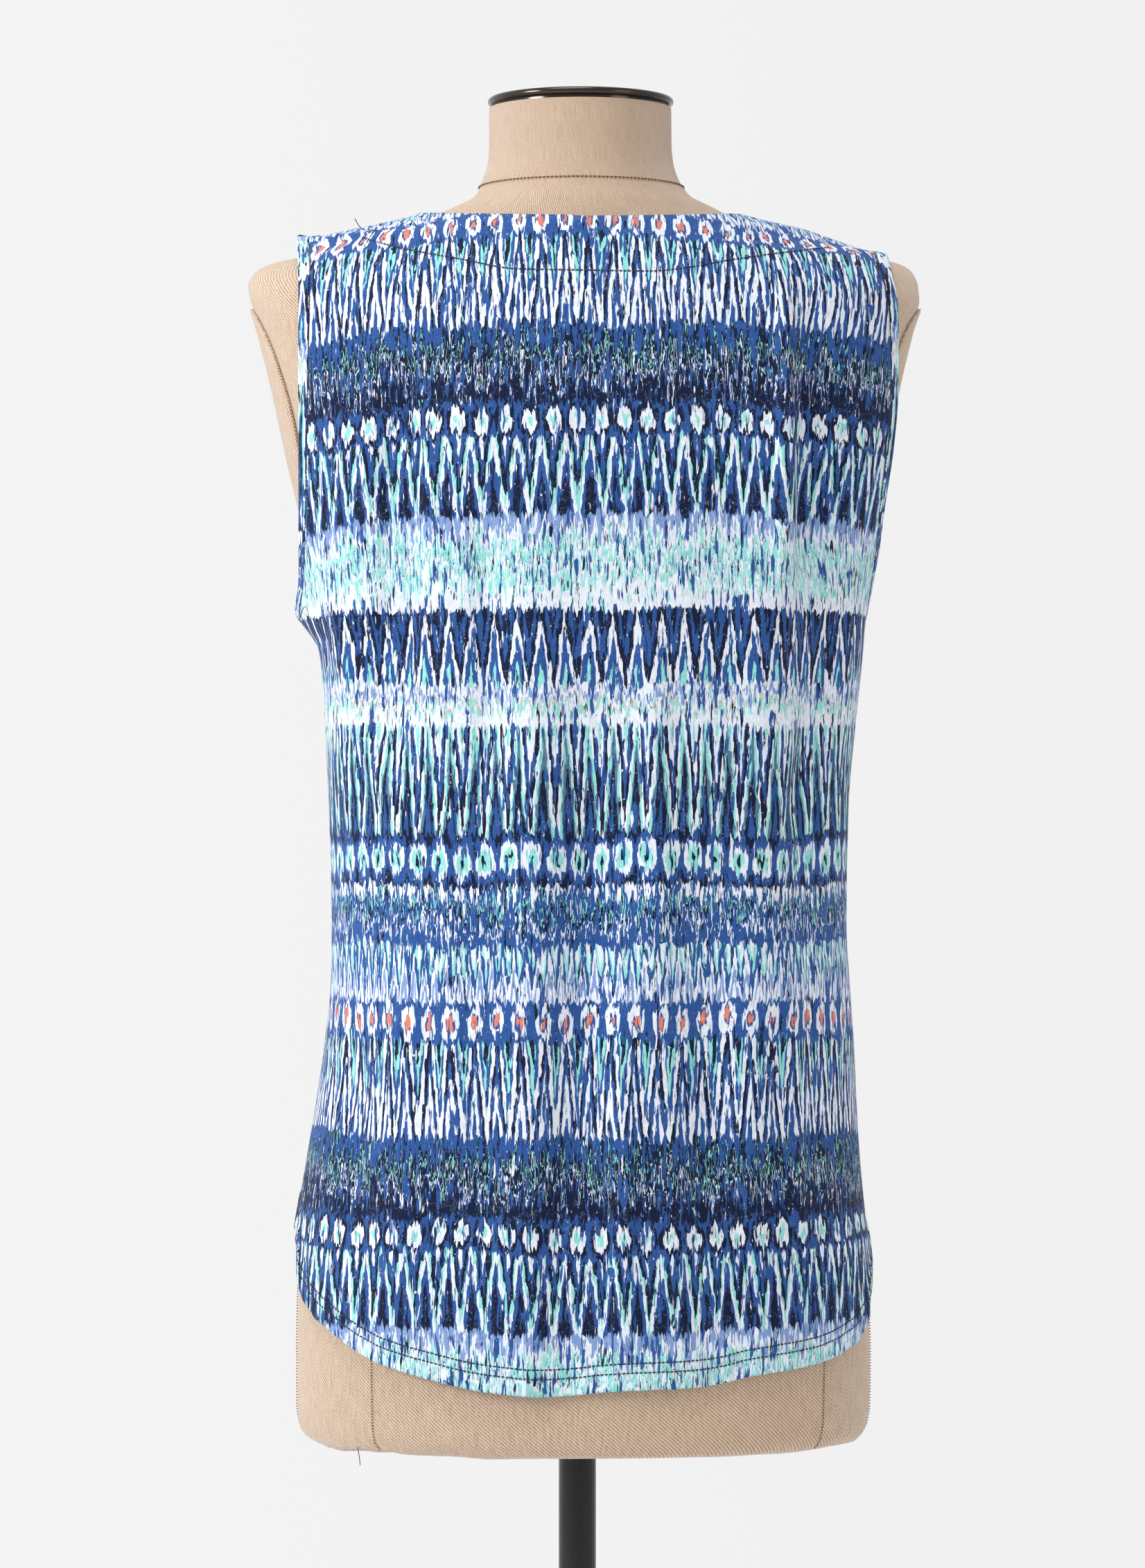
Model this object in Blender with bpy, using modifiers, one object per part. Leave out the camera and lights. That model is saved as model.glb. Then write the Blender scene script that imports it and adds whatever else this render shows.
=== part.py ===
"""A printed jersey sleeveless top on a limbless dress form, which stands on a pole and a round base.

Metres, +Z up. The origin is the centre of the base's underside, on the floor. The back of the top faces -Y,
its front +Y, and the wearer's left is at -X.
"""

from collections import namedtuple
from functools import lru_cache
from math import cos, pi, sin

import bmesh
import bpy
import numpy as np

# Cloth
CLOTH_WALL = 0.0015
CLOTH_CLEAR = 0.0006  # between the cloth and the form where it rests
SEAM_GAP = 0.0003  # between two pieces that meet at a seam
QUARTER_LENGTH = 0.20  # from the middle of the back round to the side seam, about
BAND_WIDTH = 0.0075  # armhole binding
BAND_GAP = 0.0006  # between a binding and the panels, whose facets differ
BAND_WALL = 0.0022  # binding, folded double

# Neckline, measured on the inner face of the cloth
NECK_CORNER_X = 0.0955  # where the shoulder seam ends at the neck
BACK_NECK_SLOPE = 0.117  # fall of the back neck for each metre behind the shoulder seam
FRONT_NECK_DROP = 0.055
FRONT_NECK_ROUND = 2.2
NECK_SHARE = 10 / 13  # of a panel's columns; its corners fall on one of them

# Body and stand
BODY_X = 0.002  # the padded body sits this far beside its pole
PLATE_WALL = 0.0020
PLATE_Z = 1.264
PLATE_HALF_HEIGHT = 0.083
PLATE_HALF_DEPTH = 0.047
PART_GAP = 0.0003
PLATE_GAP = 0.0010  # the plate's padding bridges the body's facets
CAP_RADIUS = 0.055
CAP_RIM = 0.0043
CAP_STEP_RADIUS = 0.0505
CAP_STEP = 0.0016
POLE_RADIUS = 0.011
SOCKET_RADIUS = 0.040
SOCKET_HEIGHT = 0.011
SOCKET_LIP = 0.004
SOCKET_NECK_RADIUS = 0.0165
BASE_RADIUS = 0.175
BASE_EDGE = 0.006
BASE_HEIGHT = 0.013
BASE_BOSS_RADIUS = 0.030
BASE_BOSS_HEIGHT = 0.022

# How finely the solids are cut up
PANEL_COLUMNS = 26
TAIL_ROWS = 15  # hem to underarm
YOKE_ROWS = 20  # underarm to shoulder; a binding has as many steps on each side
BAND_STRIPS = 2
FORM_COLUMNS = 44
PLATE_STEPS = 36
PLATE_RINGS = 4
ROUND_STEPS = 48
QUARTER_SAMPLES = 81

Section = namedtuple("Section", "z left right back front squareness")

# Horizontal sections of the padded body: height, half-widths, depths behind and before the shoulder seam
FORM_SECTIONS = [
    Section(0.6800, 0.1560, 0.1580, 0.0960, 0.0900, 2.30),
    Section(0.6820, 0.1620, 0.1645, 0.1015, 0.0955, 2.30),
    Section(0.6880, 0.1660, 0.1685, 0.1050, 0.0990, 2.30),
    Section(0.7000, 0.1676, 0.1703, 0.1065, 0.1000, 2.30),
    Section(0.7300, 0.1676, 0.1706, 0.1080, 0.1010, 2.30),
    Section(0.7900, 0.1660, 0.1680, 0.1100, 0.1020, 2.30),
    Section(0.8200, 0.1630, 0.1640, 0.1100, 0.1010, 2.30),
    Section(0.8600, 0.1560, 0.1570, 0.1060, 0.0980, 2.30),
    Section(0.9100, 0.1440, 0.1450, 0.0980, 0.0930, 2.30),
    Section(0.9600, 0.1300, 0.1310, 0.0880, 0.0870, 2.30),
    Section(1.0050, 0.1220, 0.1230, 0.0810, 0.0850, 2.30),
    Section(1.0500, 0.1240, 0.1250, 0.0830, 0.0920, 2.35),
    Section(1.1000, 0.1350, 0.1360, 0.0910, 0.1100, 2.40),
    Section(1.1500, 0.1450, 0.1465, 0.0990, 0.1250, 2.40),
    Section(1.1800, 0.1520, 0.1540, 0.1030, 0.1270, 2.45),
    Section(1.2280, 0.1640, 0.1700, 0.1050, 0.1190, 2.50),
    Section(1.2620, 0.1720, 0.1780, 0.1040, 0.1070, 2.60),
    Section(1.2950, 0.1790, 0.1845, 0.1010, 0.0950, 2.60),
    Section(1.3360, 0.1895, 0.1945, 0.0940, 0.0840, 2.45),
    Section(1.3510, 0.1947, 0.2000, 0.0890, 0.0790, 2.30),
    Section(1.3610, 0.1965, 0.1992, 0.0845, 0.0745, 2.05),
    Section(1.3690, 0.1915, 0.1955, 0.0802, 0.0708, 1.85),
    Section(1.3730, 0.1840, 0.1892, 0.0782, 0.0694, 1.75),
    Section(1.3760, 0.1715, 0.1760, 0.0765, 0.0683, 1.70),
    Section(1.3805, 0.1510, 0.1530, 0.0740, 0.0670, 1.68),
    Section(1.3905, 0.1180, 0.1190, 0.0688, 0.0648, 1.70),
    Section(1.4005, 0.0905, 0.0905, 0.0650, 0.0630, 1.80),
    Section(1.4070, 0.0740, 0.0770, 0.0625, 0.0615, 1.90),
    Section(1.4130, 0.0625, 0.0650, 0.0595, 0.0590, 2.00),
    Section(1.4230, 0.0580, 0.0580, 0.0562, 0.0560, 2.00),
    Section(1.4330, 0.0548, 0.0547, 0.0545, 0.0545, 2.00),
    Section(1.4430, 0.0540, 0.0537, 0.0537, 0.0537, 2.00),
    Section(1.4652, 0.0540, 0.0535, 0.0535, 0.0535, 2.00),
]

# Sections of the worn top's inner face, carried on round the shoulders as if it had no armholes
CLOTH_SECTIONS = [
    Section(0.7000, 0.1690, 0.1718, 0.1115, 0.1140, 2.30),
    Section(0.7880, 0.1675, 0.1697, 0.1130, 0.1155, 2.30),
    Section(0.8180, 0.1647, 0.1660, 0.1135, 0.1165, 2.30),
    Section(0.8590, 0.1582, 0.1625, 0.1130, 0.1180, 2.32),
    Section(0.9110, 0.1502, 0.1600, 0.1100, 0.1210, 2.35),
    Section(0.9520, 0.1461, 0.1572, 0.1080, 0.1235, 2.40),
    Section(0.9820, 0.1457, 0.1555, 0.1070, 0.1255, 2.42),
    Section(1.0540, 0.1473, 0.1568, 0.1065, 0.1300, 2.45),
    Section(1.1050, 0.1498, 0.1613, 0.1072, 0.1320, 2.48),
    Section(1.1460, 0.1530, 0.1654, 0.1080, 0.1325, 2.50),
    Section(1.1570, 0.1580, 0.1662, 0.1082, 0.1323, 2.50),
    Section(1.1670, 0.1620, 0.1674, 0.1084, 0.1320, 2.50),
    Section(1.1800, 0.1655, 0.1700, 0.1086, 0.1310, 2.50),
    Section(1.2040, 0.1705, 0.1757, 0.1089, 0.1280, 2.52),
    Section(1.2280, 0.1740, 0.1812, 0.1090, 0.1240, 2.55),
    Section(1.2620, 0.1785, 0.1893, 0.1080, 0.1120, 2.60),
    Section(1.2950, 0.1850, 0.1935, 0.1050, 0.0995, 2.60),
    Section(1.3360, 0.1945, 0.1995, 0.0985, 0.0885, 2.45),
    Section(1.3510, 0.1985, 0.2035, 0.0940, 0.0840, 2.30),
    Section(1.3610, 0.2000, 0.2030, 0.0905, 0.0805, 2.10),
    Section(1.3690, 0.1965, 0.1995, 0.0870, 0.0775, 1.90),
    Section(1.3740, 0.1910, 0.1915, 0.0842, 0.0760, 1.80),
    Section(1.3770, 0.1865, 0.1812, 0.0828, 0.0749, 1.75),
    Section(1.3805, 0.1810, 0.1670, 0.0809, 0.0739, 1.70),
    Section(1.3864, 0.1690, 0.1495, 0.0773, 0.0718, 1.70),
    Section(1.3874, 0.1590, 0.1465, 0.0768, 0.0716, 1.70),
    Section(1.3908, 0.1420, 0.1372, 0.0751, 0.0711, 1.70),
    Section(1.4005, 0.0985, 0.0970, 0.0690, 0.0670, 1.80),
    Section(1.4060, 0.0870, 0.0850, 0.0660, 0.0650, 1.90),
]

# The hem is a shirt tail: its heights by the share of the way from the middle to a side seam, left to right
Hem = namedtuple("Hem", "place back front")
HEM = [
    Hem(-1.00, 0.8060, 0.8060),
    Hem(-0.90, 0.7960, 0.7900),
    Hem(-0.83, 0.7690, 0.7770),
    Hem(-0.71, 0.7535, 0.7600),
    Hem(-0.53, 0.7350, 0.7450),
    Hem(-0.38, 0.7260, 0.7365),
    Hem(-0.24, 0.7198, 0.7320),
    Hem(-0.08, 0.7172, 0.7300),
    Hem(0.11, 0.7208, 0.7300),
    Hem(0.30, 0.7222, 0.7325),
    Hem(0.45, 0.7280, 0.7370),
    Hem(0.61, 0.7320, 0.7450),
    Hem(0.72, 0.7378, 0.7530),
    Hem(0.82, 0.7470, 0.7640),
    Hem(0.90, 0.7650, 0.7750),
    Hem(1.00, 0.7890, 0.7890),
]

# The armholes as seen from behind: how far beside the middle their edges are, by height
Cut = namedtuple("Cut", "z left right")
CUTS = [
    Cut(1.1700, 0.1628, 0.1680),
    Cut(1.1760, 0.1633, 0.1688),
    Cut(1.2040, 0.1630, 0.1733),
    Cut(1.2280, 0.1627, 0.1760),
    Cut(1.2620, 0.1625, 0.1808),
    Cut(1.2950, 0.1625, 0.1834),
    Cut(1.3360, 0.1627, 0.1836),
    Cut(1.3510, 0.1630, 0.1825),
    Cut(1.3610, 0.1636, 0.1810),
    Cut(1.3690, 0.1644, 0.1799),
    Cut(1.3780, 0.1656, 0.1797),
    Cut(1.3864, 0.1664, 0.1797),
]
OPENING_SAMPLES = 160
END_CROWDING = 0.5
YOKE_MIDDLE = 0.5  # above this share of an armhole a panel is laid out over the shoulder
AXIS_Z = 1.240
OPENING_Z = 1.280  # about the middle of an armhole
SHOULDER_Z = 1.362  # above this height the cloth's sections close in over the shoulders
TURN_STEP, RISE_STEP, SHARE_STEP = 0.004, 0.0008, 0.02  # between the places that a slope is worked out from

# The cloth stands out under the left arm
FLARE_OUT = 0.0048
FLARE_Z = 1.168
FLARE_HEIGHT = 0.014
FLARE_REACH = 0.14

# Soft vertical folds: places beside the middle at the top and foot, heights, half-width, and depth (+ is a ridge)
Fold = namedtuple("Fold", "face x_top x_foot z_top z_foot half_width depth")
FOLDS = [
    Fold("back", -0.106, -0.116, 1.320, 1.040, 0.022, -0.0050),
    Fold("back", -0.131, -0.131, 1.300, 1.020, 0.020, 0.0030),
    Fold("back", 0.012, -0.006, 1.160, 0.640, 0.030, -0.0060),
    Fold("back", -0.024, -0.036, 1.260, 0.640, 0.026, 0.0035),
    Fold("back", 0.110, 0.104, 1.360, 0.780, 0.026, 0.0045),
    Fold("back", 0.138, 0.130, 1.340, 0.930, 0.022, -0.0045),
    Fold("back", -0.098, -0.104, 1.020, 0.700, 0.026, 0.0035),
    Fold("back", 0.064, 0.086, 1.040, 0.640, 0.026, -0.0045),
    Fold("front", -0.062, -0.078, 1.180, 0.640, 0.030, 0.0050),
    Fold("front", 0.070, 0.062, 1.180, 0.640, 0.034, 0.0055),
    Fold("front", 0.006, -0.010, 1.080, 0.640, 0.040, -0.0070),
    Fold("front", 0.118, 0.124, 1.240, 0.900, 0.024, -0.0045),
    Fold("front", -0.116, -0.122, 1.220, 0.840, 0.024, -0.0040),
    Fold("front", -0.030, -0.034, 1.120, 0.800, 0.022, 0.0025),
]
FOLD_FADE = 0.3  # share of a fold's length over which each end dies away


def blend(a, b, share):
    return a + (b - a) * share


def ease(value, low, high):
    """0 below low, 1 above high, with a smooth step between."""
    k = min(max((value - low) / (high - low), 0.0), 1.0)
    return k * k * (3.0 - 2.0 * k)


class Curve:
    """Smooth values read from a short table, by the number in its first column."""

    def __init__(self, table):
        self.kind = type(table[0])
        self.rows = np.array(table)
        self.step = np.diff(self.rows, axis=0)
        slope = self.step / self.step[:, :1]
        product = slope[:-1] * slope[1:]
        total = np.where(product > 0, slope[:-1] + slope[1:], 1.0)
        inner = np.where(product > 0, 2.0 * product / total, 0.0)
        self.tangent = np.vstack([slope[:1], inner, slope[-1:]])
        self.known = {}

    def at(self, key):
        """The row at key, without overshoot between the table's rows."""
        if key not in self.known:
            self.known[key] = self.read(key)
        return self.known[key]

    def read(self, key):
        rows, tangent = self.rows, self.tangent
        key = min(max(key, rows[0, 0]), rows[-1, 0])
        i = min(int(np.searchsorted(rows[:, 0], key, side="right")) - 1, len(rows) - 2)
        h = self.step[i, 0]
        k = (key - rows[i, 0]) / h
        value = (
            rows[i] * (1 - k) ** 2 * (1 + 2 * k)
            + rows[i + 1] * k * k * (3 - 2 * k)
            + tangent[i] * h * k * (1 - k) ** 2
            - tangent[i + 1] * h * k * k * (1 - k)
        )
        return self.kind(*value)


FORM = Curve(FORM_SECTIONS)
CLOTH = Curve(CLOTH_SECTIONS)
HEM_LINE = Curve(HEM)
CUT_LINE = Curve(CUTS)


def quarter(half_width, depth, squareness):
    """One quarter of a section from its middle (0, depth) to its side, with the arc length so far."""
    angle = np.linspace(0.0, pi / 2, QUARTER_SAMPLES)
    x = half_width * np.sin(angle) ** (2.0 / squareness)
    y = depth * np.cos(angle) ** (2.0 / squareness)
    length = np.concatenate([[0.0], np.cumsum(np.hypot(np.diff(x), np.diff(y)))])
    return x, y, length / length[-1]


def split_turn(turn):
    """A place round the body: 0 is mid back, 1 the right side, 2 mid front; negative goes round the left."""
    side = 1 if turn >= 0 else -1
    front = abs(turn) > 1.0
    return side, front, 2.0 - abs(turn) if front else abs(turn)


def round_point(body, z, turn):
    """The point (x, y) at a height and a place round the body, with the outward normal there."""
    s = body.at(z)
    side, front, share = split_turn(turn)
    half = s.right if side > 0 else s.left
    depth = s.front if front else s.back
    xs, ys, arc = quarter(half, depth, s.squareness)
    x, y = np.interp(share, arc, xs), np.interp(share, arc, ys)
    nx = (x / half) ** (s.squareness - 1.0) / half
    ny = (y / depth) ** (s.squareness - 1.0) / depth
    size = np.hypot(nx, ny)
    facing = 1 if front else -1
    return side * x, facing * y, side * nx / size, facing * ny / size


def turn_at_x(body, z, x, front):
    """The place round the body, at height z, that lies x beside the middle."""
    s = body.at(z)
    half = s.right if x >= 0 else s.left
    xs, _, arc = quarter(half, s.front if front else s.back, s.squareness)
    share = np.interp(abs(x), xs, arc)
    turn = 2.0 - share if front else share
    return turn if x >= 0 else -turn


def turn_at_y(body, z, y, side):
    """The place round the body, at height z and on one side, that lies y before or behind the seam."""
    s = body.at(z)
    half = s.right if side > 0 else s.left
    _, ys, arc = quarter(half, s.front if y > 0 else s.back, s.squareness)
    share = np.interp(-abs(y), -ys, arc)
    turn = 2.0 - share if y > 0 else share
    return side * turn


def half_width(z, side):
    s = CLOTH.at(z)
    return s.right if side > 0 else s.left


def search(low, high, above):
    """The value between low and high at which above(value) turns false."""
    for _ in range(30):
        middle = (low + high) / 2
        low, high = (middle, high) if above(middle) else (low, middle)
    return low


@lru_cache(maxsize=None)
def shoulder_height(x, side):
    """The height at which the cloth's shoulder line is x beside the middle."""
    return search(SHOULDER_Z, CLOTH_SECTIONS[-1].z, lambda z: half_width(z, side) > x)


def fold_depth(x, z, front):
    """How far the cloth stands out (or in) at a place, from all the folds that pass it."""
    total = 0.0
    for fold in FOLDS:
        if (fold.face == "front") != front:
            continue
        k = (fold.z_top - z) / (fold.z_top - fold.z_foot)
        if not 0.0 < k < 1.0:
            continue
        away = (x - blend(fold.x_top, fold.x_foot, k)) / fold.half_width
        if abs(away) < 1.0:
            fade = ease(k, 0.0, FOLD_FADE) * ease(1.0 - k, 0.0, FOLD_FADE)
            total += fold.depth * fade * cos(away * pi / 2) ** 2
    return total


def clear_of_form(x, y, z):
    """Moves a point of the cloth's inner face straight out until it clears the padded body."""
    s = FORM.at(z)
    half = s.right if x >= 0 else s.left
    depth = s.front if y > 0 else s.back
    n = s.squareness
    level = (abs(x / half) ** n + abs(y / depth) ** n) ** (1.0 / n)
    least = 1.0 + CLOTH_CLEAR / min(half, depth)
    grow = max(1.0, least / level)
    return x * grow, y * grow


def cloth_point(z, turn):
    """A point of the cloth's inner face."""
    x, y, nx, ny = round_point(CLOTH, z, turn)
    side, front, _ = split_turn(turn)
    out = fold_depth(x, z, front)
    if side < 0:
        near = ((abs(turn) - 1.0) / FLARE_REACH) ** 2 + ((z - FLARE_Z) / FLARE_HEIGHT) ** 2
        out += FLARE_OUT * np.exp(-near)
    x, y = clear_of_form(x + nx * out, y + ny * out, z)
    return np.array([BODY_X + x, y, z])


def outward(z, turn):
    """The cloth's outward normal at a place."""
    along = np.subtract(cloth_point(z, turn + TURN_STEP), cloth_point(z, turn - TURN_STEP))
    up = np.subtract(cloth_point(z + RISE_STEP, turn), cloth_point(z - RISE_STEP, turn))
    normal = np.cross(along, up)
    return normal / np.linalg.norm(normal)


def stations(count):
    """Shares of an armhole's length from underarm to shoulder, closer together at both ends."""
    even = np.linspace(0.0, 1.0, count + 1)
    return even - END_CROWDING * np.sin(2 * pi * even) / (2 * pi)


def surface_point(z, turn):
    """A point of the cloth's inner face without its folds."""
    x, y, _, _ = round_point(CLOTH, z, turn)
    return np.array([x, y, z])


@lru_cache(maxsize=None)
def opening(side):
    """An armhole's edge: shares of its length (up the back from 0 to 1, down the front to 2) and their places."""
    foot = CUTS[0].z

    def edge_x(z):
        cut = CUT_LINE.at(z)
        return cut.right if side > 0 else cut.left

    top = search(SHOULDER_Z, CLOTH_SECTIONS[-1].z, lambda z: half_width(z, side) > edge_x(z))
    heights = blend(foot, top, (1.0 - np.cos(np.linspace(0.0, pi, OPENING_SAMPLES))) / 2)
    halves = []
    for front in (False, True):
        turns = [turn_at_x(CLOTH, z, side * edge_x(z), front) for z in heights]
        turns[0] = turns[-1] = float(side)
        points = np.array([surface_point(z, turn) for z, turn in zip(heights, turns)])
        arc = np.concatenate([[0.0], np.cumsum(np.linalg.norm(np.diff(points, axis=0), axis=1))])
        halves.append((arc / arc[-1], heights, np.array(turns)))
    back, ahead = halves
    shares = np.concatenate([back[0], 2.0 - ahead[0][-2::-1]])
    return shares, np.concatenate([back[1], ahead[1][-2::-1]]), np.concatenate([back[2], ahead[2][-2::-1]])


def armhole_place(side, share):
    shares, heights, turns = opening(side)
    return np.interp(share % 2.0, shares, heights), np.interp(share % 2.0, shares, turns)


@lru_cache(maxsize=None)
def armhole_edge(side, share, inset):
    """A place in the cloth that lies inset from the armhole's edge, measured along the surface."""
    z, turn = armhole_place(side, share)
    if inset == 0.0:
        return z, turn
    here = surface_point(z, turn)
    ahead, behind = (surface_point(*armhole_place(side, share + step)) for step in (SHARE_STEP, -SHARE_STEP))
    rise, swing = slopes(z, turn)
    away = np.cross(np.cross(rise, swing), ahead - behind)
    away *= np.sign(away.dot(here - surface_point(OPENING_Z, side)))
    target = here + away / np.linalg.norm(away) * inset
    for _ in range(8):
        rise, swing = slopes(z, turn)
        step = np.linalg.lstsq(np.array([rise, swing]).T, target - surface_point(z, turn), rcond=None)[0]
        z, turn = z + step[0], turn + step[1]
    return z, turn


def slopes(z, turn):
    """How the surface moves for each metre of height and each whole turn."""
    rise = surface_point(z + RISE_STEP, turn) - surface_point(z - RISE_STEP, turn)
    swing = surface_point(z, turn + TURN_STEP) - surface_point(z, turn - TURN_STEP)
    return rise / (2 * RISE_STEP), swing / (2 * TURN_STEP)


def as_back(turn, front):
    """A place on the front counted as the like place on the back, so that both panels are laid out alike."""
    side = 1 if turn >= 0 else -1
    return side * (2.0 - abs(turn)) if front else turn


def neckline(share, front):
    """A place on the neckline: share runs from -1 at the left corner through 0 in the middle to 1."""
    corner = shoulder_height(NECK_CORNER_X, 1 if share >= 0 else -1)
    x = NECK_CORNER_X * sin(share * pi / 2)
    inward = abs(x) / NECK_CORNER_X
    if front:
        z = corner - FRONT_NECK_DROP * (1.0 - inward**FRONT_NECK_ROUND)
    else:
        behind = round_point(CLOTH, corner, turn_at_x(CLOTH, corner, x, False))[1]
        z = corner + BACK_NECK_SLOPE * behind
    return z, as_back(turn_at_x(CLOTH, z, x, front), front)


@lru_cache(maxsize=None)
def top_edge(u, front):
    """A place on a panel's upper edge: left shoulder, neckline, right shoulder, as u goes from -1 to 1."""
    side = 1 if u >= 0 else -1
    tip_x = half_width(edge_place(side, 1.0, front)[0], side)
    if abs(u) <= NECK_SHARE:
        return neckline(u / NECK_SHARE, front)
    x = blend(NECK_CORNER_X, tip_x, (abs(u) - NECK_SHARE) / (1.0 - NECK_SHARE))
    return shoulder_height(x, side), float(side)


def edge_place(side, share, front):
    """The panel's own edge beside a binding."""
    z, turn = armhole_edge(side, 2.0 - share if front else share, BAND_WIDTH + BAND_GAP)
    return np.array([z, as_back(turn, front)])


def underarm_height(u):
    """The height of a panel's row that runs from underarm to underarm."""
    return blend(edge_place(-1, 0.0, False)[0], edge_place(1, 0.0, False)[0], (u + 1.0) / 2)


def patch(u, k, left, right, foot, top):
    """A place inside four edges: left and right at height k, foot and top functions of u."""
    share = (u + 1.0) / 2
    inner = blend(foot(u), top(u), k)
    return (
        inner
        + (1.0 - share) * (left - blend(foot(-1.0), top(-1.0), k))
        + share * (right - blend(foot(1.0), top(1.0), k))
    )


def over_shoulder(place, front):
    """A place as its distance beside the middle and its angle round an axis low in the shoulders."""
    z, turn = place
    x, y, _, _ = round_point(CLOTH, z, as_back(turn, front))
    return np.array([x, np.arctan2(z - AXIS_Z, abs(y))])


def from_shoulder(x, angle, front):
    """The place that over_shoulder gives these for."""
    low, high = AXIS_Z, shoulder_height(abs(x), 1 if x >= 0 else -1)
    for _ in range(30):
        z = (low + high) / 2
        s = CLOTH.at(z)
        ratio = min(abs(x) / (s.right if x >= 0 else s.left), 1.0)
        y = (s.front if front else s.back) * (1.0 - ratio**s.squareness) ** (1.0 / s.squareness)
        low, high = (z, high) if np.arctan2(z - AXIS_Z, y) < angle else (low, z)
    return z, as_back(turn_at_x(CLOTH, z, x, front), front)


def panel_place(u, share, front):
    """The place, counted as on the back, for column u at a share of the armhole's length."""
    left, right = (edge_place(side, share, front) for side in (-1, 1))
    left_mid, right_mid = (edge_place(side, YOKE_MIDDLE, front) for side in (-1, 1))

    def middle(place):
        return blend(left_mid, right_mid, (place + 1.0) / 2)

    if share <= YOKE_MIDDLE:
        foot_z = underarm_height(-1.0)
        k = (left[0] - foot_z) / (left_mid[0] - foot_z)
        return patch(u, k, left, right, lambda place: np.array([underarm_height(place), place]), middle)
    left, right, foot = (over_shoulder(place, front) for place in (left, right, left_mid))
    x, angle = patch(
        u,
        (left[1] - foot[1]) / (pi / 2 - foot[1]),
        left,
        right,
        lambda place: over_shoulder(middle(place), front),
        lambda place: over_shoulder(top_edge(place, front), front),
    )
    return from_shoulder(x, angle, front)


def seam_turn(turn, front):
    """Draws a panel's edge back from the side and shoulder seams by half the gap there."""
    limit = 1.0 - SEAM_GAP / 2 / QUARTER_LENGTH
    turn = max(min(turn, limit), -limit)
    side = 1 if turn >= 0 else -1
    return side * (2.0 - abs(turn)) if front else turn


def panel_places(front):
    """The grid of places of one panel, from the hem up."""
    places = np.linspace(-1.0, 1.0, PANEL_COLUMNS + 1)
    rows = []
    hem = [HEM_LINE.at(u).front if front else HEM_LINE.at(u).back for u in places]
    for k in np.linspace(0.0, 1.0, TAIL_ROWS + 1):
        rows.append([(blend(low, underarm_height(u), k), u) for low, u in zip(hem, places)])
    for v in stations(YOKE_ROWS)[1:]:
        rows.append([panel_place(u, v, front) for u in places])
    return [[(z, seam_turn(turn, front)) for z, turn in row] for row in rows]


def collection_for(name):
    found = bpy.data.collections.new(name)
    bpy.context.scene.collection.children.link(found)
    return found


def finish_material(name, color, roughness, metallic=0.0):
    material = bpy.data.materials.new(name)
    material.use_nodes = True
    shader = material.node_tree.nodes["Principled BSDF"]
    shader.inputs["Base Color"].default_value = (*color, 1.0)
    shader.inputs["Roughness"].default_value = roughness
    shader.inputs["Metallic"].default_value = metallic
    material.diffuse_color = (*color, 1.0)
    return material


def object_from(bm, name, material, collection):
    """Turns a bmesh into a smooth-shaded object in the collection."""
    mesh = bpy.data.meshes.new(name)
    bm.to_mesh(mesh)
    bm.free()
    mesh.shade_smooth()
    mesh.set_sharp_from_angle(angle=np.radians(40))
    mesh.materials.append(material)
    obj = bpy.data.objects.new(name, mesh)
    collection.objects.link(obj)
    return obj


def add_grid(bm, rows, around=False):
    """A loft through rows of points that all have the same count; around closes each row into a ring."""
    grid = [[bm.verts.new(point) for point in row] for row in rows]
    count = len(grid[0])
    for low, high in zip(grid, grid[1:]):
        for i in range(count if around else count - 1):
            j = (i + 1) % count
            bm.faces.new((low[i], low[j], high[j], high[i]))
    return grid


def rims(grid, around):
    """The vertices along a grid's edges, as closed loops."""
    if around:
        return [grid[0], grid[-1]]
    right = [row[-1] for row in grid[1:-1]]
    left = [row[0] for row in grid[1:-1]]
    return [grid[0] + right + grid[-1][::-1] + left[::-1]]


def make_cloth(name, places, wall, around, material, collection):
    """A closed wall that stands on the cloth's inner face, from rows of places."""
    bm = bmesh.new()
    inner = add_grid(bm, [[cloth_point(*place) for place in row] for row in places], around)
    outer_rows = [[cloth_point(*place) + wall * outward(*place) for place in row] for row in places]
    outer = add_grid(bm, outer_rows, around)
    for under, over in zip(rims(inner, around), rims(outer, around)):
        for i in range(len(under)):
            bm.faces.new((under[i - 1], under[i], over[i], over[i - 1]))
    bmesh.ops.recalc_face_normals(bm, faces=bm.faces)
    return object_from(bm, name, material, collection)


def make_band(side, name, material, collection):
    """The folded strip round an armhole, beside the panels' edges."""
    up = list(stations(YOKE_ROWS))
    shares = up + [2.0 - share for share in up[-2:0:-1]]
    insets = np.linspace(0.0, BAND_WIDTH, BAND_STRIPS + 1)
    places = [[armhole_edge(side, share, inset) for share in shares] for inset in insets]
    return make_cloth(name, places, BAND_WALL, True, material, collection)


def make_form(material, collection):
    """The padded, linen-covered body, closed flat at its foot and neck."""
    turns = np.arange(FORM_COLUMNS) * 4.0 / FORM_COLUMNS - 2.0
    rows = []
    for section in FORM_SECTIONS:
        places = [round_point(FORM, section.z, turn) for turn in turns]
        rows.append([(BODY_X + x, y, section.z) for x, y, _, _ in places])
    bm = bmesh.new()
    grid = add_grid(bm, rows, around=True)
    bm.faces.new(list(reversed(grid[0])))
    bm.faces.new(grid[-1])
    return object_from(bm, "dress_form_body", material, collection)


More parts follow.
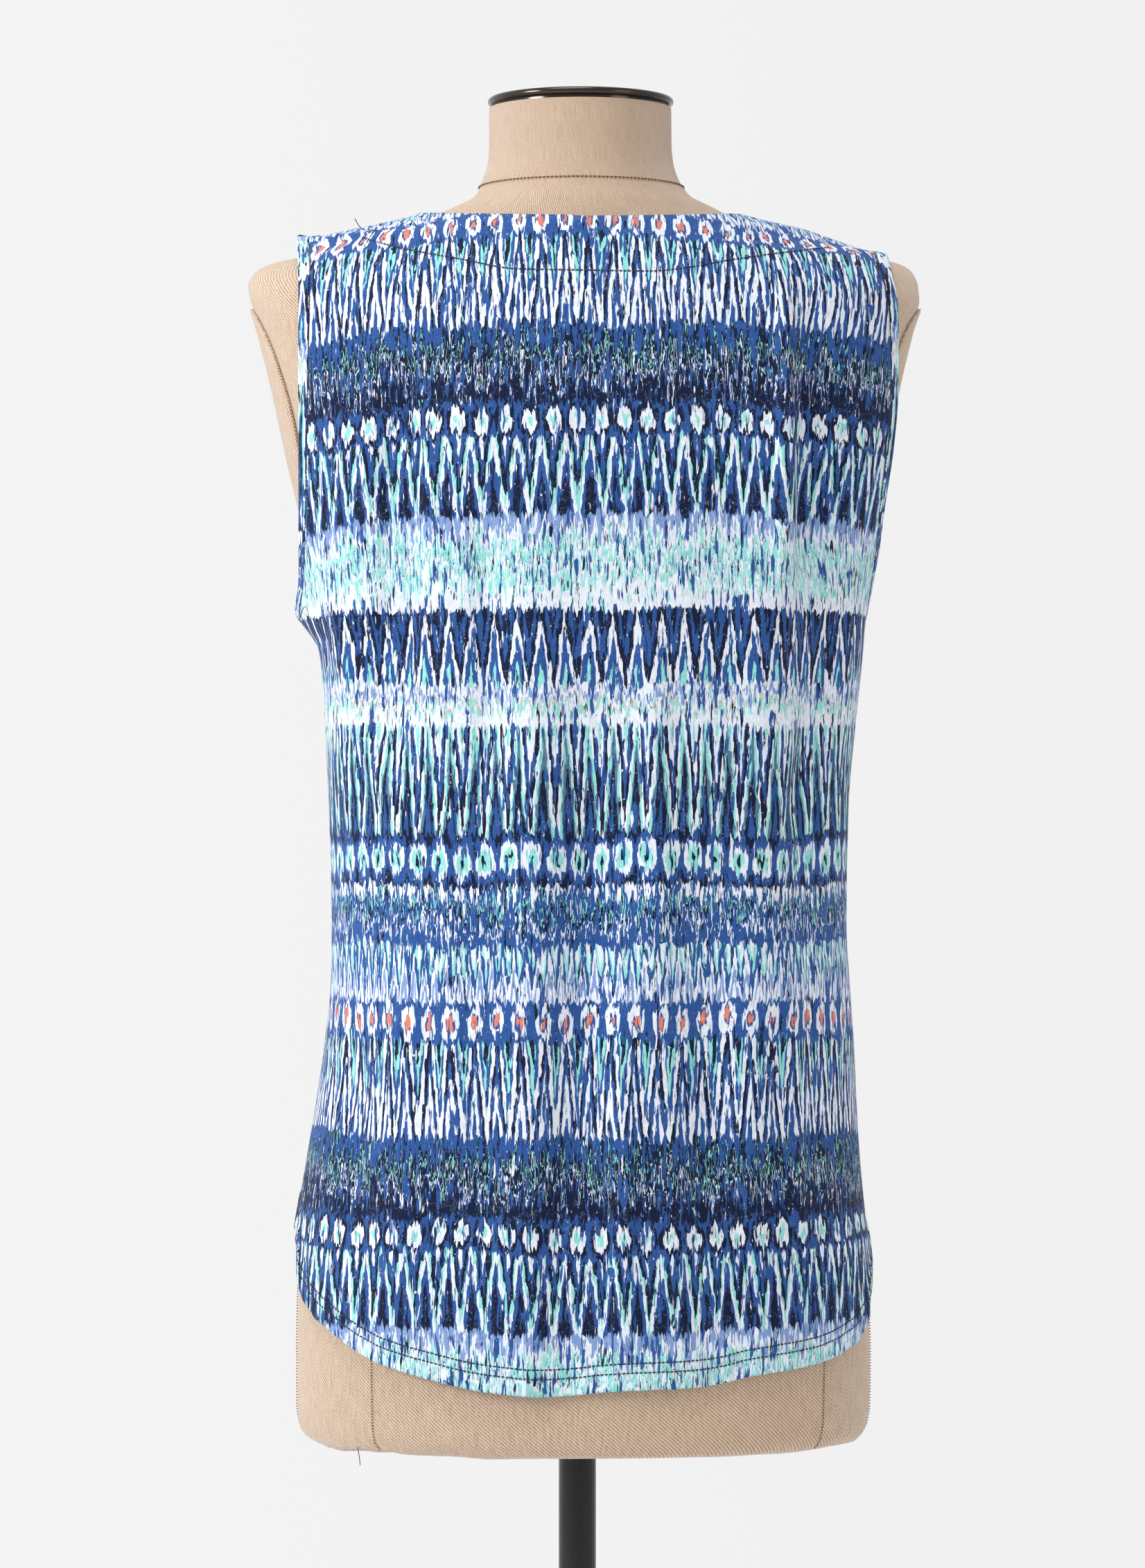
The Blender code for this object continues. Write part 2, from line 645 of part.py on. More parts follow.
def make_plate(side, name, material, collection):
    """A covered plate over the end of a shoulder: the body's own surface moved out, with a domed face."""

    def place(angle, share, out):
        z = PLATE_Z + PLATE_HALF_HEIGHT * share * cos(angle)
        y = PLATE_HALF_DEPTH * share * sin(angle)
        turn = turn_at_y(FORM, z, y, side)
        x, y, nx, ny = round_point(FORM, z, turn)
        return BODY_X + x + nx * out, y + ny * out, z

    angles = np.arange(PLATE_STEPS) * 2 * pi / PLATE_STEPS
    shares = np.linspace(1.0, 0.25, PLATE_RINGS + 1)
    under = [[place(a, share, PLATE_GAP) for a in angles] for share in shares]
    over = [[place(a, share, PLATE_GAP + PLATE_WALL) for a in angles] for share in shares]
    bm = bmesh.new()
    grid = add_grid(bm, list(reversed(under)) + over, around=True)
    bm.faces.new(list(reversed(grid[0])))
    bm.faces.new(grid[-1])
    bmesh.ops.recalc_face_normals(bm, faces=bm.faces)
    return object_from(bm, name, material, collection)


def make_turned(name, profile, center_x, material, collection):
    """A solid turned about an upright axis from a profile that runs down its outer side."""
    bm = bmesh.new()
    previous = None
    for radius, z in profile:
        vert = bm.verts.new((radius, 0.0, z))
        if previous:
            bm.edges.new((previous, vert))
        previous = vert
    obj = object_from(bm, name, material, collection)
    obj.location.x = center_x
    screw = obj.modifiers.new("turn", "SCREW")
    screw.steps = ROUND_STEPS
    screw.render_steps = ROUND_STEPS
    screw.use_merge_vertices = True
    screw.merge_threshold = 0.00001
    screw.use_normal_calculate = False
    return obj


def make_cap(neck_top, material, collection):
    """The flat metal cap: a rounded rim over a narrower step that sits on the linen."""
    step_foot = neck_top + PART_GAP
    rim_foot = step_foot + CAP_STEP
    rim_top = rim_foot + CAP_RIM
    r = CAP_RIM / 2
    rounding = [
        (CAP_RADIUS - r + r * cos(a), rim_foot + r + r * sin(a))
        for a in np.linspace(pi / 2, -pi / 2, 7)
    ]
    profile = [(0.0, rim_top)] + rounding
    profile += [(CAP_STEP_RADIUS, rim_foot), (CAP_STEP_RADIUS, step_foot), (0.0, step_foot)]
    return make_turned("neck_cap", profile, BODY_X, material, collection)


def make_socket(form_foot, material, collection):
    """The plate and short collar under the body that the pole goes into."""
    top = form_foot - PART_GAP
    foot = top - SOCKET_HEIGHT
    bore = POLE_RADIUS + PART_GAP
    profile = [
        (bore, top),
        (SOCKET_RADIUS, top),
        (SOCKET_RADIUS, top - SOCKET_LIP),
        (SOCKET_NECK_RADIUS, top - SOCKET_LIP - 0.001),
        (SOCKET_NECK_RADIUS, foot),
        (bore, foot),
        (bore, top),
    ]
    return make_turned("pole_socket", profile, 0.0, material, collection)


def make_pole(form_foot, material, collection):
    top = form_foot - PART_GAP
    foot = BASE_BOSS_HEIGHT + PART_GAP
    profile = [(0.0, top), (POLE_RADIUS, top), (POLE_RADIUS, foot), (0.0, foot)]
    return make_turned("pole", profile, 0.0, material, collection)


def make_base(material, collection):
    """A heavy round base, slightly crowned, with a boss that the pole screws down onto."""
    profile = [
        (0.0, BASE_BOSS_HEIGHT),
        (BASE_BOSS_RADIUS - 0.004, BASE_BOSS_HEIGHT),
        (BASE_BOSS_RADIUS, BASE_BOSS_HEIGHT - 0.003),
        (BASE_BOSS_RADIUS + 0.003, BASE_HEIGHT + 0.001),
        (BASE_BOSS_RADIUS + 0.010, BASE_HEIGHT - 0.0005),
        (BASE_RADIUS * 0.6, BASE_HEIGHT - 0.0025),
        (BASE_RADIUS - 0.008, BASE_EDGE + 0.0012),
        (BASE_RADIUS - 0.002, BASE_EDGE - 0.0006),
        (BASE_RADIUS, BASE_EDGE - 0.003),
        (BASE_RADIUS, 0.001),
        (BASE_RADIUS - 0.001, 0.0),
        (0.0, 0.0),
    ]
    return make_turned("stand_base", profile, 0.0, material, collection)


def clear_scene():
    for obj in list(bpy.data.objects):
        bpy.data.objects.remove(obj, do_unlink=True)


def main():
    clear_scene()
    collection = collection_for("sleeveless_top_on_dress_form")
    jersey = finish_material("printed_jersey", (0.36, 0.52, 0.68), 0.75)
    binding = finish_material("jersey_binding", (0.28, 0.40, 0.58), 0.75)
    linen = finish_material("linen_cover", (0.62, 0.47, 0.35), 0.9)
    steel = finish_material("polished_steel", (0.75, 0.75, 0.75), 0.15, 1.0)
    black = finish_material("black_enamel", (0.012, 0.013, 0.015), 0.35)

    make_cloth("back_panel", panel_places(False), CLOTH_WALL, False, jersey, collection)
    make_cloth("front_panel", panel_places(True), CLOTH_WALL, False, jersey, collection)
    make_band(-1, "armhole_band_left", binding, collection)
    make_band(1, "armhole_band_right", binding, collection)

    form_foot, neck_top = FORM_SECTIONS[0].z, FORM_SECTIONS[-1].z
    make_form(linen, collection)
    make_plate(-1, "arm_plate_left", linen, collection)
    make_plate(1, "arm_plate_right", linen, collection)
    make_cap(neck_top, steel, collection)
    make_socket(form_foot, black, collection)
    make_pole(form_foot, black, collection)
    make_base(black, collection)


main()
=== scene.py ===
"""A printed jersey sleeveless top on a linen-covered dress form, lit and framed as in the photograph.

Metres, +Z up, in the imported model's frame. The back of the top faces -Y and the camera, its front +Y, and the
wearer's left is at -X.
"""

from collections import namedtuple
from functools import lru_cache
from math import cos, pi, sin

import bmesh
import bpy
import numpy as np
from mathutils import Matrix, Vector, noise


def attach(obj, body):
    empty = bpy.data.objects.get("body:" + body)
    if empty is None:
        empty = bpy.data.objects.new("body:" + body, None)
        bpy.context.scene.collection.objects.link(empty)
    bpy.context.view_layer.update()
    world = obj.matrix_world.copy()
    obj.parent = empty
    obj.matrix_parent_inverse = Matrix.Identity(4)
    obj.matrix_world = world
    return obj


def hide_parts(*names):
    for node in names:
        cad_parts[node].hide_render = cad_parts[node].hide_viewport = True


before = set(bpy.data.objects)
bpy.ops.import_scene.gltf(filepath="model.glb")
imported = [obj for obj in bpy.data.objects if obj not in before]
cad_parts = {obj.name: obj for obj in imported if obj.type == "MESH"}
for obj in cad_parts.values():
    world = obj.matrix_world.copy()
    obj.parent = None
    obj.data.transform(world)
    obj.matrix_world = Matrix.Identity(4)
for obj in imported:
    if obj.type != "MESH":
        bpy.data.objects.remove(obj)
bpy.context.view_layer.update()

# Picture
PICTURE_HEIGHT = 2263
PIXEL = 0.00041  # metres to a pixel at the middle of the body
CAMERA_DISTANCE = 2.9
CAMERA_X = -0.00287
CAMERA_Z = 1.066
SENSOR = 36.0  # millimetres, along the picture's height

# Cloth
CLOTH_CLEAR = 0.0006  # between the cloth and the form where it rests
CLOTH_LIFT = 0.0004  # the jersey's inner face above the solid's
JERSEY = 0.0010
SEAM_GAP = 0.0003  # between two pieces that meet at a seam
QUARTER_LENGTH = 0.20  # from the middle of the back round to the side seam, about
BAND_WIDTH = 0.0075  # armhole binding
BAND_GAP = 0.0006
BAND_WALL = 0.0020
BAND_CURL = 0.0026  # the left one's edge curls up at the shoulder
BAND_CURL_REACH = 0.04  # share of its length from underarm to shoulder

# Neckline, measured on the inner face of the cloth
NECK_CORNER_X = 0.0955  # where the shoulder seam ends at the neck
BACK_NECK_SLOPE = 0.117  # fall of the back neck for each metre behind the shoulder seam
FRONT_NECK_DROP = 0.055
FRONT_NECK_ROUND = 2.2
NECK_SHARE = 10 / 13  # of a panel's columns; its corners fall on one of them

# Sewing
HEM_ROWS = (0.0100, 0.0154)  # twin needle, above the hem's edge
HEM_TURN = 0.0175  # how far the turned-up cloth reaches
HEM_STEP_FOOT = HEM_TURN - 0.001  # its raw edge shows as a soft step between these two
HEM_STEP_TOP = HEM_TURN + 0.003
STITCH = 0.0023
STITCH_PITCH = 0.0025
THREAD = 0.00056  # half the width of a stitch, a little thicker than real so that it shows
THREAD_PROUD = 0.00020  # how far the middle of a stitch stands above the cloth's face
SEAM_DOT = 0.0009
SEAM_PITCH = 0.0017
NECK_SEAM_Z = 1.4186
FACING_DEPTH = 0.034  # the neck facing, below the front's neckline
FACING_ENDS = 0.97  # share of the neckline that its stitches run along, in front
FACING_RISE = 4  # how steeply they climb at the ends
HEM_ENDS = 0.997  # share of a panel's width that the hem's stitches run along
BINDING_ENDS = (0.01, 1.99)  # shares of an armhole's length
# the binding's dark stitches sit this deep in the gap, where they also paint its shade
BINDING_SEAM_DEPTH = 0.8  # of the jersey
SEAM_FOOT = 0.002  # where the body's seams start above its foot

# Body and stand
BODY_X = 0.002  # the padded body sits this far beside its pole
PLATE_WALL = 0.0020
PLATE_Z = 1.264
PLATE_HALF_HEIGHT = 0.083
PLATE_HALF_DEPTH = 0.047
PART_GAP = 0.0003
PLATE_GAP = 0.0010  # the plate's padding bridges the body's facets
CAP_RADIUS = 0.055
CAP_RIM = 0.0043
CAP_STEP_RADIUS = 0.0505
CAP_STEP = 0.0016
POLE_RADIUS = 0.011
SOCKET_RADIUS = 0.040
SOCKET_HEIGHT = 0.011
SOCKET_LIP = 0.004
SOCKET_NECK_RADIUS = 0.0165
SOCKET_ROUND = 0.001
SOCKET_FILLET = 0.002
SOCKET_CHAMFER = 0.0008
BASE_RADIUS = 0.175
BASE_EDGE = 0.006
BASE_HEIGHT = 0.013
BASE_BOSS_RADIUS = 0.030
BASE_BOSS_HEIGHT = 0.022
BASE_ROUND = 0.004
BASE_FILLET = 0.010
BASE_FILLET_RISE = 0.0085
BASE_MIDWAY = 0.6  # share of its radius where its upper face dips
BASE_DIP = 0.0030
BASE_ROUND_DROP = 0.0025
BASE_CHAMFER = 0.001
FLOOR_RADIUS = 3.4  # out of the picture, as in the photograph

# Cloth textures, in millimetres
PRINT_START = 700.0  # height of the first row's foot in the flat cloth
DAB_ACROSS, DAB_UP = 0.46, 0.12  # dabs of ink to a millimetre
DAB_PULL = 0.35  # how far a place is drawn to the middle of its dab
WALE = 0.9  # a real jersey has about 0.45, too fine to show
COURSE = 0.8  # as above
TWILL = 2.2  # from rib to rib, as in the photograph
WARP = 1.1  # a real linen has about 0.6, too fine to show

COLOR_MIX = {"out": 2, "data_type": "RGBA"}  # what the mixing node needs to mix colours

MILLIMETRES = 1000.0  # to a metre
NOISE_ROUGHNESS = 0.6
NOISE_LOW, NOISE_HIGH = 0.3, 0.7  # nearly all of a noise's values lie between these

# Grains of the hard finishes, to a metre
STEEL_RINGS = 1500.0  # marks of polishing, coarser than real so that they show
ENAMEL_PEEL = 700.0  # a ripple every 1.4 mm
THREAD_PLIES = 1800.0  # a turn of the plies every 0.55 mm
FLOOR_CLOUDS = 1.3
FLOOR_STIPPLE = 250.0  # a roller's stipple, 4 mm

# Random patterns in the cloth: grains to a millimetre across and up, seed, and how many finer ones lie on top
Grain = namedtuple("Grain", "across up seed detail")
RAGGED = Grain(0.50, 0.02, 1.0, 3.0)  # the rows' torn edges
SAG = Grain(0.010, 0.006, 5.0, 2.0)
DRIFT = Grain(0.030, 0.012, 9.0, 2.0)
STROKE = Grain(0.36, 0.04, 12.0, 3.0)
FLECK = Grain(0.50, 0.07, 16.0, 2.5)
VEIN = Grain(0.10, 0.07, 21.0, 5.0)
MOTTLE = Grain(0.30, 0.22, 30.0, 4.0)
SOFT_KNIT = Grain(0.12, 0.05, 40.0, 2.0)
TWILL_WANDER = Grain(0.6, 0.6, 2.0, 2.0)
SLUB = Grain(0.9, 0.08, 6.0, 3.0)
LINEN_FLECK = Grain(0.8, 0.45, 17.0, 3.0)
RAGGED_BY, SAG_BY, DRIFT_BY, WANDER_BY = 16.0, 14.0, 7.0, 1.2  # millimetres from side to side
ROW_EDGE = 0.3  # half the width of the change from one row to the next
VEIN_WIDTH = 0.0035
VEIN_SHADE = 0.7
STREAK_DETAIL = 3.0
STREAK_EDGE = 0.03
MOTTLE_DARK, MOTTLE_LIGHT = 0.86, 1.08  # uneven uptake of ink
KNIT_SOFTNESS = 6.0  # the cloth's own unevenness, in heights of a knitted loop
KNIT_DEPTH = 0.00012
TWILL_SHARE = 0.7  # of a rib's height to a thread's
SLUB_SHARE = 1.6  # thick places in the threads
LINEN_DEPTH = 0.00018

# How finely the pieces are cut up
PANEL_COLUMNS = 156
COLUMN_SKIP = 3  # columns between those that the yoke is worked out on
HEM_STEPS = 13
TAIL_STEPS = 70  # hem to underarm, above the turned-up cloth
YOKE_STEPS = 60
BAND_STEPS = 220
FORM_COLUMNS = 440
FORM_STEPS = 130
PLATE_STEPS = 96
TURNED_STEPS = 120
FLOOR_STEPS = 96
HEM_SEAM_STEPS = 300
FACING_STEPS = 160
NECK_SEAM_STEPS = 200
GORE_STEPS = 60
LOOSE_STEPS = 12
QUARTER_SAMPLES = 81
HALVINGS = 30
INSET_ROUNDS = 8
MERGE = 0.00001
FLATTEN_ROUNDS = 5

# Lamps, all aimed at one place
Lamp = namedtuple("Lamp", "name place size watts color")
LAMPS = [
    Lamp("window_side", (-2.5, -1.3, 1.9), 1.0, 46.0, "#FFFFFF"),
    Lamp("top", (-0.3, -0.9, 3.3), 1.4, 20.0, "#FFFFFF"),
    Lamp("right_fill", (2.4, -1.8, 1.5), 1.4, 9.0, "#FFEEDD"),
]
LIT_PLACE = (0.0, 0.0, 1.05)

# The studio's white by direction: share of the way from the far left to the far right
WORLD_SHADES = [(0.0, "#FFFFFF"), (0.36, "#F8F8F8"), (0.64, "#ECECED"), (1.0, "#D6D7D9")]
NEAR_SHADE = 0.53  # the room behind the camera, against the white ahead

# Relief of the sewing
HEM_OUT = 0.0009  # the turned-up cloth
HEM_DRAW = 0.0006  # drawn in along each row of stitches
HEM_ROW_WIDTH = 0.0012
HEM_PUCKER = 0.0016
PUCKERS = 24.0  # to a quarter turn
PUCKERS_UP = 40.0  # to a metre
PUCKER_SEED = 3.0
GATHERS = 25  # at the body's foot, to a quarter turn
GATHER_DEPTH = 0.0030
GATHER_RISE = 0.0032
GATHER_LOW, GATHER_HIGH = 0.002, 0.020  # they die away between these heights over the foot
GATHER_SPREAD = 6.0  # how fast they change in depth round the body
GATHER_SEED = 7.0
SLACK = 0.0004  # unevenness of the linen over its padding
SLACK_GRAIN = (9.0, 9.0, 7.0)  # to a metre
GORE_SHOWN_Z = 0.80  # the body's seams are sewn in up to here, where the cloth hides them

INKS = {
    "white": "#E9F0FB",
    "mint": "#94E2DC",
    "blue": "#2A5599",
    "periwinkle": "#84A1D4",
    "navy": "#081637",
    "coral": "#EA8264",
    "slate": "#587A96",
}

# The print's rows from the hem up: height and width of a figure in millimetres, a shift aside in figures, how
# far the figures reach over the row, how broken they are, and the inks from their hearts outward
Row = namedtuple("Row", "figure height pitch shift reach broken inks")
PRINT_ROWS = [
    Row("bars", 54, 13.6, 0.0, 1.4, 0.9, [
        (0, "white"), (0.24, "mint"), (0.38, "white"), (0.52, "blue"), (0.55, "mint"), (0.68, "white"),
        (0.86, "periwinkle"),
    ]),
    Row("peaks", 44, 13.6, 0.0, 1.2, 0.66, [
        (0, "navy"), (0.3, "blue"), (0.42, "white"), (0.54, "mint"), (0.62, "navy"), (0.76, "blue"),
        (0.88, "white"),
    ]),
    Row("beads", 20, 13.6, 0.5, 1.0, 0.24, [
        (0, "mint"), (0.3, "white"), (0.66, "navy"), (0.95, "blue"),
    ]),
    Row("bars", 46, 13.6, 0.0, 2.1, 1.1, [
        (0, "navy"), (0.3, "blue"), (0.38, "white"), (0.44, "navy"), (0.62, "mint"), (0.67, "navy"),
        (0.86, "blue"),
    ]),
    Row("peaks", 56, 13.6, 0.5, -1.4, 0.54, [
        (0, "blue"), (0.14, "white"), (0.3, "blue"), (0.38, "navy"), (0.5, "white"), (0.66, "blue"),
        (0.76, "mint"), (0.86, "navy"),
    ]),
    Row("beads", 22, 13.6, 0.0, 1.2, 0.24, [
        (0, "coral"), (0.3, "blue"), (0.42, "white"), (0.84, "blue"),
    ]),
    Row("peaks", 32, 6.8, 0.0, 0.9, 0.66, [
        (0, "white"), (0.2, "periwinkle"), (0.34, "white"), (0.5, "blue"), (0.66, "mint"), (0.78, "white"),
    ]),
    Row("bars", 34, 13.6, 0.0, 2.0, 1.0, [
        (0, "blue"), (0.26, "white"), (0.36, "blue"), (0.5, "navy"), (0.62, "mint"), (0.68, "blue"),
        (0.88, "white"),
    ]),
    Row("beads", 30, 13.6, 0.5, 0.8, 0.36, [
        (0, "navy"), (0.16, "mint"), (0.42, "white"), (0.64, "blue"), (0.9, "navy"),
    ]),
    Row("peaks", 62, 13.6, 0.0, 1.5, 0.54, [
        (0, "blue"), (0.16, "navy"), (0.3, "slate"), (0.38, "mint"), (0.48, "white"), (0.58, "navy"),
        (0.7, "blue"), (0.78, "white"), (0.9, "mint"),
    ]),
    Row("bars", 24, 6.8, 0.0, 1.6, 0.9, [
        (0, "white"), (0.34, "mint"), (0.5, "coral"), (0.53, "white"), (0.7, "periwinkle"), (0.86, "white"),
    ]),
    Row("peaks", 42, 13.6, 0.5, -1.1, 0.60, [
        (0, "mint"), (0.16, "blue"), (0.34, "white"), (0.48, "navy"), (0.64, "blue"), (0.8, "navy"),
    ]),
]

# Strokes over the rows: ink, how many to a millimetre across and up, seed, and the level that they start at
Streak = namedtuple("Streak", "ink across up seed start")
STREAKS = [
    Streak("blue", 0.42, 0.045, 51.0, 0.56),
    Streak("navy", 0.50, 0.060, 63.0, 0.61),
    Streak("white", 0.46, 0.050, 75.0, 0.65),
    Streak("mint", 0.60, 0.110, 87.0, 0.68),
    Streak("navy", 0.70, 0.260, 93.0, 0.70),
    Streak("white", 0.80, 0.400, 99.0, 0.67),
]

# A binding's section: share of its width from the armhole's edge, share of its height
BAND_SECTION = [
    (1.0, 0.0), (1.0, 0.55), (0.95, 0.85), (0.86, 0.97), (0.6, 1.0), (0.3, 1.0), (0.12, 0.95), (0.04, 0.8),
    (0.0, 0.5), (0.0, 0.2), (0.06, 0.0), (0.5, 0.0),
]

# An arm plate's section: share of its radius, share of its wall's height
PLATE_SECTION = [
    (0.0, 1.0), (0.3, 1.0), (0.6, 0.99), (0.85, 0.97), (0.93, 0.9), (0.97, 0.75), (1.0, 0.4), (1.0, -0.3),
    (0.5, -0.3), (0.0, -0.3),
]

# The facing's stitching behind the back neck: places beside the middle as seen from behind, and heights
Facing = namedtuple("Facing", "x z")
FACING_LINE = [
    Facing(-0.1250, 1.3830),
    Facing(-0.1117, 1.3778),
    Facing(-0.0918, 1.3722),
    Facing(-0.0658, 1.3666),
    Facing(-0.0356, 1.3608),
    Facing(0.0000, 1.3600),
    Facing(0.0410, 1.3594),
    Facing(0.0625, 1.3617),
    Facing(0.0848, 1.3661),
    Facing(0.1043, 1.3697),
    Facing(0.1271, 1.3737),
    Facing(0.1466, 1.3773),
]

# Thread ends left hanging: place beside the middle as seen from behind, height, reach aside and out, rise
LooseEnd = namedtuple("LooseEnd", "x z reach rise")
LOOSE_ENDS = [
    LooseEnd(-0.1236, 1.3872, (-0.006, -0.0020), 0.007),
    LooseEnd(-0.1215, 1.3868, (0.007, -0.0015), -0.001),
    LooseEnd(0.0540, 0.7330, (0.004, -0.0020), -0.004),
    LooseEnd(-0.1560, 1.1700, (-0.003, -0.0020), -0.007),
]
LOOSE_BIT = 0.0009
LOOSE_OVERLAP = 0.7  # its bits overlap by the rest
LOOSE_THICKNESS = 0.6  # of a stitch
LOOSE_CURL = 2.2  # radians
LINEN_END_X = -0.1290  # a thread end under the body: its place, reach and rise
LINEN_END = ((0.0020, -0.0015), -0.0105)
GORE_X = (-0.1198, 0.1396)  # seams up the body, beside its middle, behind and in front

Section = namedtuple("Section", "z left right back front squareness")

# Horizontal sections of the padded body: height, half-widths, depths behind and before the shoulder seam
FORM_SECTIONS = [
    Section(0.6800, 0.1560, 0.1580, 0.0960, 0.0900, 2.30),
    Section(0.6820, 0.1620, 0.1645, 0.1015, 0.0955, 2.30),
    Section(0.6880, 0.1660, 0.1685, 0.1050, 0.0990, 2.30),
    Section(0.7000, 0.1676, 0.1703, 0.1065, 0.1000, 2.30),
    Section(0.7300, 0.1676, 0.1706, 0.1080, 0.1010, 2.30),
    Section(0.7900, 0.1660, 0.1680, 0.1100, 0.1020, 2.30),
    Section(0.8200, 0.1630, 0.1640, 0.1100, 0.1010, 2.30),
    Section(0.8600, 0.1560, 0.1570, 0.1060, 0.0980, 2.30),
    Section(0.9100, 0.1440, 0.1450, 0.0980, 0.0930, 2.30),
    Section(0.9600, 0.1300, 0.1310, 0.0880, 0.0870, 2.30),
    Section(1.0050, 0.1220, 0.1230, 0.0810, 0.0850, 2.30),
    Section(1.0500, 0.1240, 0.1250, 0.0830, 0.0920, 2.35),
    Section(1.1000, 0.1350, 0.1360, 0.0910, 0.1100, 2.40),
    Section(1.1500, 0.1450, 0.1465, 0.0990, 0.1250, 2.40),
    Section(1.1800, 0.1520, 0.1540, 0.1030, 0.1270, 2.45),
    Section(1.2280, 0.1640, 0.1700, 0.1050, 0.1190, 2.50),
    Section(1.2620, 0.1720, 0.1780, 0.1040, 0.1070, 2.60),
    Section(1.2950, 0.1790, 0.1845, 0.1010, 0.0950, 2.60),
    Section(1.3360, 0.1895, 0.1945, 0.0940, 0.0840, 2.45),
    Section(1.3510, 0.1947, 0.2000, 0.0890, 0.0790, 2.30),
    Section(1.3610, 0.1965, 0.1992, 0.0845, 0.0745, 2.05),
    Section(1.3690, 0.1915, 0.1955, 0.0802, 0.0708, 1.85),
    Section(1.3730, 0.1840, 0.1892, 0.0782, 0.0694, 1.75),
    Section(1.3760, 0.1715, 0.1760, 0.0765, 0.0683, 1.70),
    Section(1.3805, 0.1510, 0.1530, 0.0740, 0.0670, 1.68),
    Section(1.3905, 0.1180, 0.1190, 0.0688, 0.0648, 1.70),
    Section(1.4005, 0.0905, 0.0905, 0.0650, 0.0630, 1.80),
    Section(1.4070, 0.0740, 0.0770, 0.0625, 0.0615, 1.90),
    Section(1.4130, 0.0625, 0.0650, 0.0595, 0.0590, 2.00),
    Section(1.4230, 0.0580, 0.0580, 0.0562, 0.0560, 2.00),
    Section(1.4330, 0.0548, 0.0547, 0.0545, 0.0545, 2.00),
    Section(1.4430, 0.0540, 0.0537, 0.0537, 0.0537, 2.00),
    Section(1.4652, 0.0540, 0.0535, 0.0535, 0.0535, 2.00),
]

# Sections of the worn top's inner face, carried on round the shoulders as if it had no armholes
CLOTH_SECTIONS = [
    Section(0.7000, 0.1690, 0.1718, 0.1115, 0.1140, 2.30),
    Section(0.7880, 0.1675, 0.1697, 0.1130, 0.1155, 2.30),
    Section(0.8180, 0.1647, 0.1660, 0.1135, 0.1165, 2.30),
    Section(0.8590, 0.1582, 0.1625, 0.1130, 0.1180, 2.32),
    Section(0.9110, 0.1502, 0.1600, 0.1100, 0.1210, 2.35),
    Section(0.9520, 0.1461, 0.1572, 0.1080, 0.1235, 2.40),
    Section(0.9820, 0.1457, 0.1555, 0.1070, 0.1255, 2.42),
    Section(1.0540, 0.1473, 0.1568, 0.1065, 0.1300, 2.45),
    Section(1.1050, 0.1498, 0.1613, 0.1072, 0.1320, 2.48),
    Section(1.1460, 0.1530, 0.1654, 0.1080, 0.1325, 2.50),
    Section(1.1570, 0.1580, 0.1662, 0.1082, 0.1323, 2.50),
    Section(1.1670, 0.1620, 0.1674, 0.1084, 0.1320, 2.50),
    Section(1.1800, 0.1655, 0.1700, 0.1086, 0.1310, 2.50),
    Section(1.2040, 0.1705, 0.1757, 0.1089, 0.1280, 2.52),
    Section(1.2280, 0.1740, 0.1812, 0.1090, 0.1240, 2.55),
    Section(1.2620, 0.1785, 0.1893, 0.1080, 0.1120, 2.60),
    Section(1.2950, 0.1850, 0.1935, 0.1050, 0.0995, 2.60),
    Section(1.3360, 0.1945, 0.1995, 0.0985, 0.0885, 2.45),
    Section(1.3510, 0.1985, 0.2035, 0.0940, 0.0840, 2.30),
    Section(1.3610, 0.2000, 0.2030, 0.0905, 0.0805, 2.10),
    Section(1.3690, 0.1965, 0.1995, 0.0870, 0.0775, 1.90),
    Section(1.3740, 0.1910, 0.1915, 0.0842, 0.0760, 1.80),
    Section(1.3770, 0.1865, 0.1812, 0.0828, 0.0749, 1.75),
    Section(1.3805, 0.1810, 0.1670, 0.0809, 0.0739, 1.70),
    Section(1.3864, 0.1690, 0.1495, 0.0773, 0.0718, 1.70),
    Section(1.3874, 0.1590, 0.1465, 0.0768, 0.0716, 1.70),
    Section(1.3908, 0.1420, 0.1372, 0.0751, 0.0711, 1.70),
    Section(1.4005, 0.0985, 0.0970, 0.0690, 0.0670, 1.80),
    Section(1.4060, 0.0870, 0.0850, 0.0660, 0.0650, 1.90),
]

# The hem is a shirt tail: its heights by the share of the way from the middle to a side seam, left to right
Hem = namedtuple("Hem", "place back front")
HEM = [
    Hem(-1.00, 0.8060, 0.8060),
    Hem(-0.90, 0.7960, 0.7900),
    Hem(-0.83, 0.7690, 0.7770),
    Hem(-0.71, 0.7535, 0.7600),
    Hem(-0.53, 0.7350, 0.7450),
    Hem(-0.38, 0.7260, 0.7365),
    Hem(-0.24, 0.7198, 0.7320),
    Hem(-0.08, 0.7172, 0.7300),
    Hem(0.11, 0.7208, 0.7300),
    Hem(0.30, 0.7222, 0.7325),
    Hem(0.45, 0.7280, 0.7370),
    Hem(0.61, 0.7320, 0.7450),
    Hem(0.72, 0.7378, 0.7530),
    Hem(0.82, 0.7470, 0.7640),
    Hem(0.90, 0.7650, 0.7750),
    Hem(1.00, 0.7890, 0.7890),
]

